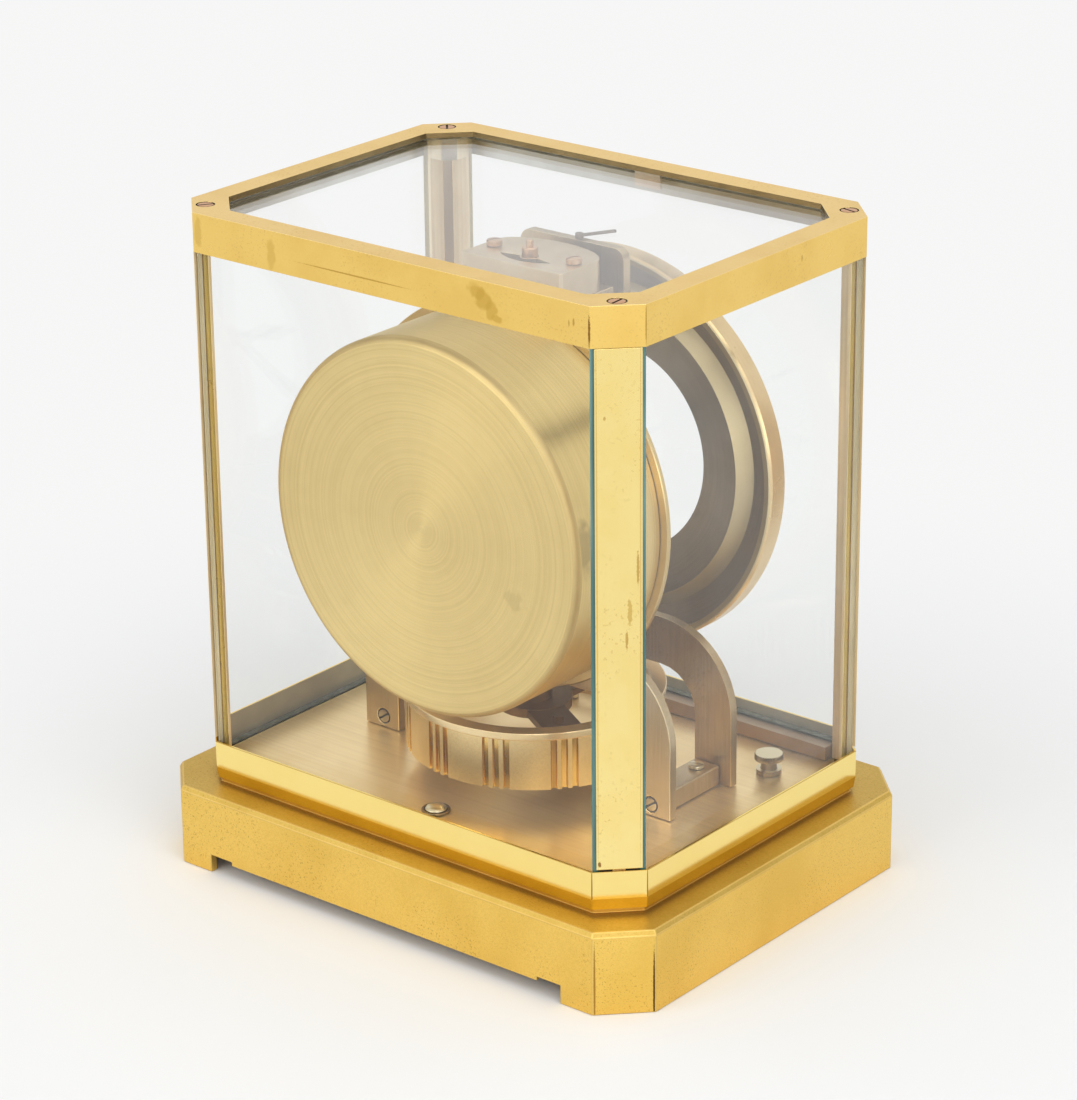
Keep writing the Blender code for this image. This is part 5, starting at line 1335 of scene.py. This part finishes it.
@dataclass
class FloorFittings(Assembly):
    """Spirit level, transit lock, thumbscrews, feet and the floor's screw."""

    dome_spot: Point = (0.0, 0.0513, 0.0)
    dome: Profile = ((0.0, 0.0353), (0.0050, 0.0353), (0.0050, 0.0357), (0.0048, 0.0359),
                     (0.0041, 0.0359), (0.0040, 0.0355), (0.0037, 0.0355), (0.0037, 0.0360),
                     (0.0033, 0.0366), (0.0024, 0.0371), (0.0012, 0.03725), (0.0, 0.0373))
    dome_radius: float = 0.00368
    groove_radius: float = 0.0042
    cup: Profile = ((0.0, 0.0353), (0.0050, 0.0353), (0.0050, 0.0391), (0.00485, 0.0394),
                    (0.0044, 0.0395), (0.0040, 0.0394), (0.0040, 0.0363), (0.0, 0.0363))
    vial: Profile = ((0.0, 0.0366), (0.0037, 0.0366), (0.0037, 0.0387), (0.0030, 0.0390),
                     (0.0, 0.03915))
    knurls: int = 48
    knurl_depth: float = 0.00022
    knob_height: float = 0.0025
    knob_edge: float = 0.0003
    stem_sink: float = 0.0010
    stem: Profile = ((0.0028, 0.0375), (0.0030, 0.0371), (0.0044, 0.0371), (0.0044, 0.0353),
                     (0.0022, 0.0353))
    foot_radius: float = 0.0060
    foot_top: float = 0.0049
    foot_edge: float = 0.0003
    foot_stem: float = 0.0036

    def dome_face(self, face: Face) -> int:
        """Pick the dull ring round the dome, and painted shade in the groove beside it."""
        reach = (face.calc_center_median() - Vector(self.dome_spot)).xy.length
        return 0 if reach < self.dome_radius else 1 + int(reach < self.groove_radius)

    def knurled(self, low: Vector, high: Vector) -> Form:
        """Thumbscrew with a knurled rim.

        Args:
            low: Lowest corner of its solid.
            high: Highest corner of its solid.

        Returns:
            The thumbscrew.
        """
        middle = (low + high) / 2
        radius = (high.x - low.x) / 2
        outline = []
        for i in range(self.knurls * 2):
            reach = radius - self.knurl_depth * (i % 2)
            angle = math.pi * i / self.knurls
            outline.append((middle.x + reach * math.cos(angle), middle.y + reach * math.sin(angle)))
        disc = Form.raised(outline, high.z - self.knob_height, high.z)
        disc.rounded([edge for edge in disc.mesh.edges
                      if abs(edge.verts[0].co.z - edge.verts[1].co.z) < MERGE], self.knob_edge, 2)
        top = high.z - self.stem_sink
        neck, foot = self.stem[0][0], self.stem[-1][0]
        stem = [(0.0, top), (neck, top), *self.stem, (foot, low.z), (0.0, low.z)]
        return disc.carved(Form.spun(stem, (middle.x, middle.y, 0.0)), "UNION")

    def build(self) -> None:
        """Build the fittings of the floor."""
        self.piece("floor_dome_screw", Form.spun(self.dome, self.dome_spot, steps=64),
                   Finish.PALE, "floor_screw", extra=(Finish.KNURL, Finish.SHADOW_GAP),
                   pick=self.dome_face)
        self.piece("level_housing", Form.spun(self.cup, LEVEL_CENTRE, steps=64), Finish.PALE,
                   "level_cup")
        self.piece("level_vial_glass", Form.spun(self.vial, LEVEL_CENTRE), Finish.VIAL,
                   "level_vial")
        self.refined("lock_lever", "transit_lock", Finish.PALE)
        for side in ("left", "right"):
            # the knurled sides take darker brass, painted shade between the knurls
            self.piece("thumbscrew_" + side, self.knurled(*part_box("level_knob_" + side)),
                       Finish.PALE, "level_knob_" + side, extra=(Finish.KNURL,),
                       pick=lambda face: int(abs(face.normal.z) < 0.8))
            low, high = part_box("foot_pad_" + side)
            foot = [(0.0, low.z),
                    *soft_side(self.foot_radius, low.z, self.foot_top, self.foot_edge),
                    (self.foot_stem, self.foot_top), (self.foot_stem, high.z), (0.0, high.z)]
            middle = (low + high) / 2
            self.piece("levelling_foot_" + side, Form.spun(foot, (middle.x, middle.y, 0.0)),
                       Finish.PALE, "foot_pad_" + side)


@dataclass
class Framework(Assembly):
    """Arched plates, their stretchers and screws."""

    plate_screw: Screw = Screw(0.0027, 0.0012, (0.0007, 0.0006), (0.0012, 0.0085), 35.0,
                               axis=Axis.Y, painted_shade_reach=0.0020)
    bar_screw: Screw = Screw(0.0027, 0.0010, (0.0006, 0.0005), (0.0012, 0.0030), 20.0, 0.0002)

    def build(self) -> None:
        """Build the movement's frame."""
        for side in ("rear", "front"):
            self.refined(side + "_frame", "arched_plate_" + side, Finish.PLATE, 0.00028, 2, 28.0,
                         extra=(Finish.PLATE_EDGE,), pick=worn)
        for side in ("left", "right"):
            self.refined("stretcher_" + side, "foot_bar_" + side, Finish.PLATE, 0.0001, 1, 28.0)
            self.screw("foot_screw_" + side, "plate_screw_" + side, Finish.FOOT_SCREW,
                       self.plate_screw)
            self.screw("stretcher_screw_" + side, "bar_screw_" + side, Finish.PALE,
                       self.bar_screw)


@dataclass
class Suspension(Assembly):
    """Block, clamp, wire and regulator over the balance."""

    block_screw: Screw = Screw(0.0027, 0.0018, (0.0007, 0.0006), (0.0012, 0.0050), 70.0, 0.0002)
    clamp_head: float = 0.0012
    clamp_body: float = 0.0027
    clamp_edge: float = 0.0003
    clamp_step: float = 0.0024
    clamp_bore: float = 0.0006
    bore_top: float = 0.2143
    wire_radius: float = 0.00025

    def build(self) -> None:
        """Build the suspension."""
        self.refined("suspension_block", "hanger_block", Finish.BLOCK, 0.00025, 2, 28.0)
        for side in ("left", "right"):
            self.screw("block_screw_" + side, "hanger_screw_" + side, Finish.ROSE,
                       self.block_screw)
        low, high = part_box("suspension_clamp")
        head, body, edge, bore = (self.clamp_head, self.clamp_body, self.clamp_edge,
                                  self.clamp_bore)
        step = high.z - self.clamp_step
        clamp = [(0.0, high.z), (head - edge, high.z), (head, high.z - edge), (head, step),
                 (body - edge, step), (body, step - edge), (body, low.z), (bore, low.z),
                 (bore, self.bore_top), (0.0, self.bore_top)]
        self.piece("wire_clamp", Form.spun(clamp, BALANCE_CENTRE), Finish.ROSE,
                   "suspension_clamp")
        low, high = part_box("suspension_wire")
        wire = [(0.0, low.z), (self.wire_radius, low.z), (self.wire_radius, high.z),
                (0.0, high.z)]
        self.piece("hanging_wire", Form.spun(wire, BALANCE_CENTRE, steps=12), Finish.STEEL,
                   "suspension_wire")
        self.refined("regulator_lever", "regulator_arm", Finish.BROWN, 0.0001, 1)


@dataclass
class Balance(Assembly):
    """Slow torsion balance: fluted ring, rim, arms and staff."""

    radius: float = 0.0450
    rim_radius: float = 0.0456
    rim_edge: float = 0.00035
    bore: float = 0.0400
    low: float = 0.0440
    overrun: float = 0.002
    rim_low: float = 0.0622
    rim_high: float = 0.0650
    groups: int = 12
    flutes: int = 3
    flute_angle: float = 2.8
    flute_pitch: float = 4.7
    phase: float = 82.1
    flute_depth: float = 0.0012
    flute_mouth: float = 0.04476
    flute_profile: Profile = ((-0.5, 0.0), (-0.42, 0.8), (-0.34, 1.0), (0.34, 1.0), (0.42, 0.8),
                              (0.5, 0.0))
    plain_steps: int = 14

    def outline(self) -> list[Pair]:
        """Outline of the ring with its groups of upright flutes.

        Returns:
            X and Y of its corners.
        """
        points: list[Pair] = []
        group = 360.0 / self.groups
        spread = self.flute_pitch * (self.flutes - 1) / 2
        plain = group - 2 * spread - self.flute_angle
        for k in range(self.groups):
            middle = self.phase + group * k
            for flute in range(self.flutes):
                at = middle - spread + self.flute_pitch * flute
                points += [(self.radius - self.flute_depth * sunk, at + self.flute_angle * share)
                           for share, sunk in self.flute_profile]
            start = middle + spread + self.flute_angle / 2
            points += [(self.radius, start + plain * i / self.plain_steps)
                       for i in range(1, self.plain_steps)]
        turns = [(reach, math.radians(angle)) for reach, angle in points]
        return [(r * math.cos(a), BALANCE_CENTRE[1] + r * math.sin(a)) for r, a in turns]

    def in_flute(self, face: Face) -> int:
        """Pick the polished finish for the upright faces within the flutes."""
        reach = (face.calc_center_median() - Vector(BALANCE_CENTRE)).xy.length
        return int(upright(face) and self.bore + MERGE < reach < self.flute_mouth)

    def build(self) -> None:
        """Build the balance."""
        under = self.low - self.overrun
        hole = [(0.0, under), (self.bore, under), (self.bore, self.rim_high),
                (0.0, self.rim_high)]
        band = Form.raised(self.outline(), self.low, self.rim_low)
        self.piece("balance_fluted_band", band.carved(Form.spun(hole, BALANCE_CENTRE, steps=192)),
                   Finish.BALANCE, "balance_ring", 25.0, extra=(Finish.FLUTE,),
                   pick=self.in_flute)
        edge = self.rim_edge
        rim = [(self.bore, self.rim_low), (self.rim_radius - edge, self.rim_low),
               (self.rim_radius, self.rim_low + edge), (self.rim_radius, self.rim_high - edge),
               (self.rim_radius - edge * 0.3, self.rim_high - edge * 0.3),
               (self.rim_radius - edge, self.rim_high), (self.bore + edge, self.rim_high),
               (self.bore, self.rim_high - edge)]
        self.piece("balance_rim", Form.spun(rim, BALANCE_CENTRE, steps=192, hollow=True),
                   Finish.RIM, "balance_ring", stands_for=False)
        self.refined("balance_hub", "balance_arms", Finish.ARMS, 0.00015, 2, 28.0)


@dataclass
class Drum(Assembly):
    """Vapour drum with its cover, bellows, plate and spring."""

    radius: float = 0.0655
    rear: float = 0.0555
    edge: float = 0.0030
    edge_steps: int = 10
    wall: float = 0.0012
    mouth: float = 0.0126
    cover_radius: float = 0.0685
    cover_front: float = 0.0103
    cover_rear: float = 0.0123
    cover_bore: float = 0.0150
    soft: float = 0.0003
    folds: int = 5
    fold_steps: int = 12
    fold_depth: float = 0.0070

    def shell(self) -> list[Pair]:
        """Profile of the drum with its rounded edge.

        Returns:
            Pairs of radius and height, from the middle of the rear outside to that inside.
        """
        side, base = self.radius - self.edge, self.rear - self.edge
        angles = [math.pi / 2 * (1 - i / self.edge_steps) for i in range(self.edge_steps + 1)]
        inner = self.radius - self.wall
        return [(0.0, self.rear),
                *((side + self.edge * math.cos(a), base + self.edge * math.sin(a)) for a in angles),
                (self.radius, self.mouth), (inner, self.mouth), (inner, base),
                (side, self.rear - self.wall), (0.0, self.rear - self.wall)]

    def pleats(self, crest: float, low: float, high: float) -> list[Pair]:
        """Profile of the bellows.

        Args:
            crest: Greatest radius.
            low: Y of its front.
            high: Y of its rear.

        Returns:
            Pairs of radius and height.
        """
        steps = self.folds * self.fold_steps
        sides = []
        for i in range(steps + 1):
            wave = 0.5 + 0.5 * math.cos(math.tau * self.folds * i / steps)
            sides.append((crest - self.fold_depth * wave, low + (high - low) * i / steps))
        return [(0.0, low), *sides, (0.0, high)]

    def build(self) -> None:
        """Build the drum."""
        self.piece("vapour_drum", Form.spun(self.shell(), DRUM_CENTRE, Axis.Y, 192), Finish.DRUM,
                   "drum_shell", extra=(Finish.DRUM_EDGE,),
                   pick=lambda face: int(0.1 < face.normal.y < 0.97))
        cover = [(self.cover_bore, self.cover_front),
                 *soft_side(self.cover_radius, self.cover_front, self.cover_rear, self.soft),
                 (self.cover_bore, self.cover_rear)]
        self.piece("drum_cover_plate", Form.spun(cover, DRUM_CENTRE, Axis.Y, 192, hollow=True),
                   Finish.COVER, "drum_cover")
        low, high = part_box("bellows")
        pleats = self.pleats((high.x - low.x) / 2, low.y, high.y)
        self.piece("pleated_bellows", Form.spun(pleats, DRUM_CENTRE, Axis.Y, 96), Finish.COVER,
                   "bellows", stretch=(high.y, low.y))
        low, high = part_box("bellows_plate")
        cap = [(0.0, low.y), *soft_side((high.x - low.x) / 2, low.y, high.y, self.soft),
               (0.0, high.y)]
        self.piece("bellows_cap", Form.spun(cap, DRUM_CENTRE, Axis.Y, 96), Finish.COVER,
                   "bellows_plate")
        low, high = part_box("counter_spring")
        self.piece("drum_spring", Form.of_node("counter_spring").bevelled(0.00005, 1, 80.0),
                   Finish.STEEL, "counter_spring", stretch=(low.y, high.y))


@dataclass
class Dial(Assembly):
    """Enamelled dial ring with its hour marks, hoop and pillars."""

    outer: float = 0.0584
    crown: float = 0.0540
    bore: float = 0.0374
    outer_y: float = -0.0490
    crown_y: float = -0.0445
    bore_y: float = -0.0485
    sheet: float = 0.0012
    slant: float = 0.3
    hoop_radius: float = 0.0700
    hoop_back_radius: float = 0.0694
    hoop_wall: float = 0.0022
    hoop_front: float = -0.0510
    hoop_back: float = -0.0427
    hoop_edge: float = 0.0004
    web_front: float = -0.0502
    web_back: float = -0.0490
    pillar_x: float = 0.0090
    pillar: Profile = ((0.0, -0.0469), (0.0025, -0.0469), (0.0025, -0.0280), (0.0022, -0.0278),
                       (0.0, -0.0278))

    def radius_of(self, face: Face) -> float:
        """Distance of a face's middle from the dial's axis."""
        arm = face.calc_center_median() - Vector(DRUM_CENTRE)
        return math.hypot(arm.x, arm.z)

    def plate_face(self, face: Face) -> int:
        """Pick enamel in front, pale brass on the outer slope behind."""
        slope = face.normal.y > self.slant and self.radius_of(face) > self.crown
        return 1 if face.normal.y < -self.slant else 2 * slope

    def hoop_face(self, face: Face) -> int:
        """Pick the dull finish for the web, pale brass for the wall's inner side.

        Args:
            face: A face of the hoop.

        Returns:
            Index of its finish.
        """
        radius = self.radius_of(face)
        web = self.hoop_back_radius - self.hoop_wall - MERGE
        if radius < web and face.normal.y > self.slant:
            return 1
        behind = face.calc_center_median().y > self.web_back + MERGE
        return 2 if radius < self.hoop_back_radius and behind else 0

    def build(self) -> None:
        """Build the dial."""
        ring = Form.spun([(self.bore, self.bore_y), (self.crown, self.crown_y),
                          (self.outer, self.outer_y), (self.outer, self.outer_y - self.sheet),
                          (self.crown - self.sheet, self.crown_y - self.sheet),
                          (self.bore, self.bore_y - self.sheet)], DRUM_CENTRE, Axis.Y, 192,
                         hollow=True)
        rise = math.sqrt(((self.bore + self.crown) / 2) ** 2 - self.pillar_x ** 2)
        for side in (-self.pillar_x, self.pillar_x):
            for level in (-rise, rise):
                spot = (side, 0.0, DRUM_CENTRE[2] + level)
                ring.joined(Form.spun(self.pillar, spot, Axis.Y, 32))
        self.piece("dial_plate", ring, Finish.DIAL_BACK, "dial_ring", 30.0,
                   extra=(Finish.ENAMEL, Finish.CONE), pick=self.plate_face)
        inner = self.hoop_back_radius - self.hoop_wall
        web, edge = self.outer - MERGE, self.hoop_edge
        hoop = [(web, self.web_back), (inner, self.web_back), (inner, self.hoop_back),
                (self.hoop_back_radius - edge, self.hoop_back),
                (self.hoop_back_radius, self.hoop_back - edge),
                (self.hoop_radius, self.hoop_back - self.hoop_wall / 2),
                (self.hoop_radius, self.hoop_front + edge),
                (self.hoop_radius - edge, self.hoop_front), (inner, self.hoop_front),
                (inner, self.web_front), (web, self.web_front)]
        self.piece("dial_hoop", Form.spun(hoop, DRUM_CENTRE, Axis.Y, 192, hollow=True),
                   Finish.HOOP, "dial_bezel", 30.0, extra=(Finish.DIAL_BACK, Finish.CONE),
                   pick=self.hoop_face)


@dataclass
class Train(Assembly):
    """Wheels, pallets, bridge, motion work and hands."""

    wheels: tuple[tuple[str, str], ...] = (
        ("barrel", "going_barrel"), ("intermediate_wheel", "third_wheel"),
        ("centre_wheel", "centre_arbor_wheel"), ("escape_wheel", "escape_wheel_arbor"),
        ("motion_wheel", "minute_work_wheel"))

    def build(self) -> None:
        """Build the going train."""
        for node, name in self.wheels:
            self.refined(node, name, Finish.WHEEL, 0.00007, 1, 28.0)
        self.refined("pallet_lever", "pallet_fork", Finish.STEEL, 0.00008, 1, 28.0)
        self.refined("train_bridge", "wheel_bridge", Finish.WHEEL, 0.0002, 2, 28.0)
        for hand in ("hour", "minute"):
            self.refined(hand + "_hand", "hand_of_%ss" % hand, Finish.BLACK, 0.00006, 1, 28.0)


@dataclass
class Studio:
    """Floor, light and camera."""

    azimuth: float = 219.45029
    elevation: float = 21.40609
    roll: float = -0.61946
    place: Point = (-0.76701, 0.92731, 0.58556)
    focal_pixels: float = 3796.0335
    long_side: float = 1100.0
    sensor: float = 36.0
    near: float = 0.01
    sky: Colour = (0.80, 0.81, 0.82)
    backdrop: Colour = (0.925, 0.925, 0.922)
    ground: tuple[Colour, Colour] = ((0.87, 0.87, 0.868), (0.86, 0.86, 0.858))
    ground_mottle: Cloud = (3.0, 2.0, 0.3, 0.7)
    ground_size: float = 6.0
    ground_z: float = -0.0001
    shadow_reach: float = 0.13
    fade_reach: float = 0.42
    aim: Point = (0.0, 0.0, 0.1)
    lamps: tuple[tuple[str, Point, Pair, float], ...] = (
        ("key", (-1.3, 0.5, 1.9), (1.5, 1.5), 13.0), ("rear", (0.5, 1.9, 1.1), (1.6, 1.2), 11.0),
        ("low", (-1.5, 1.2, 0.35), (1.6, 0.6), 6.0))

    def stand_camera(self) -> None:
        """Set the camera where the photograph was taken."""
        a, e, r = (math.radians(v) for v in (self.azimuth, self.elevation, self.roll))
        back = Vector((math.sin(a) * math.cos(e), -math.cos(a) * math.cos(e), math.sin(e)))
        right = Vector((0.0, 0.0, 1.0)).cross(back).normalized()
        level = Matrix((right, back.cross(right), back))
        tilt = Matrix.Rotation(-r, 3, "Z")
        data = bpy.data.cameras.new("camera")
        data.sensor_width = self.sensor
        data.lens = self.focal_pixels / self.long_side * self.sensor
        data.clip_start = self.near
        made = placed("camera", data)
        made.matrix_world = Matrix.Translation(self.place) @ (tilt @ level).transposed().to_4x4()
        bpy.context.scene.camera = made

    def hang_lamp(self, name: str, place: Point, size: Pair, energy: float) -> None:
        """Add a soft rectangular lamp that faces the clock.

        Args:
            name: Name of the lamp.
            place: Where it hangs.
            size: Width and height.
            energy: Power in watts.
        """
        data = bpy.data.lights.new(name, "AREA")
        data.shape = "RECTANGLE"
        data.size, data.size_y = size
        data.energy = energy
        made = placed(name, data)
        made.location = place
        aim = Vector(self.aim) - Vector(place)
        made.rotation_euler = aim.to_track_quat("-Z", "Y").to_euler()

    def light_sky(self) -> None:
        """Plain world light, shown pale to the camera, to metal and to glass."""
        world = bpy.data.worlds.new("studio")
        bpy.context.scene.world = world
        world.use_nodes = True
        tree = Nodes(world.node_tree)
        seen = tree.any_ray("Camera", "Glossy", "Transmission")
        colour = tree.blend(seen, self.sky, self.backdrop)
        tree.feed(world.node_tree.nodes["Background"], {"Color": colour})

    def lay_ground(self) -> None:
        """Wide pale floor that keeps the clock's shadow and fades into the backdrop."""
        form = Form()
        bmesh.ops.create_grid(form.mesh, x_segments=1, y_segments=1, size=self.ground_size)
        made = placed("studio_floor", form.closed())
        made.location.z = self.ground_z
        tree = Shading("studio_floor")
        tree.dressed(Base_Color=tree.blend(tree.cloud(*self.ground_mottle), *self.ground),
                     Roughness=0.75, Specular_IOR_Level=0.1)
        seen = tree.any_ray("Camera", "Glossy", "Transmission")
        away = tree.step(tree.vector("LENGTH", tree.place), self.shadow_reach, self.fade_reach)
        plain = tree.add("ShaderNodeEmission", {"Color": self.backdrop})
        share = tree.math("MULTIPLY", seen, away)
        made.data.materials.append(tree.surfaced(tree.shader_mix(share, tree.shader, plain)))

    def build(self) -> None:
        """Build the studio."""
        bpy.context.scene.view_settings.view_transform = "Standard"
        self.stand_camera()
        self.light_sky()
        self.lay_ground()
        for lamp in self.lamps:
            self.hang_lamp(*lamp)


def main() -> None:
    """Dress the clock and set up the studio."""
    logging.basicConfig(level=logging.INFO, format="%(name)s: %(message)s")
    Studio().build()
    for kind in (Casework, Glazing, FloorFittings, Framework, Suspension, Balance, Drum, Dial,
                 Train):
        assembly = kind()
        assembly.build()
        log.info("%s holds %d pieces", kind.__name__, len(assembly.made))


if __name__ == "__main__":
    main()
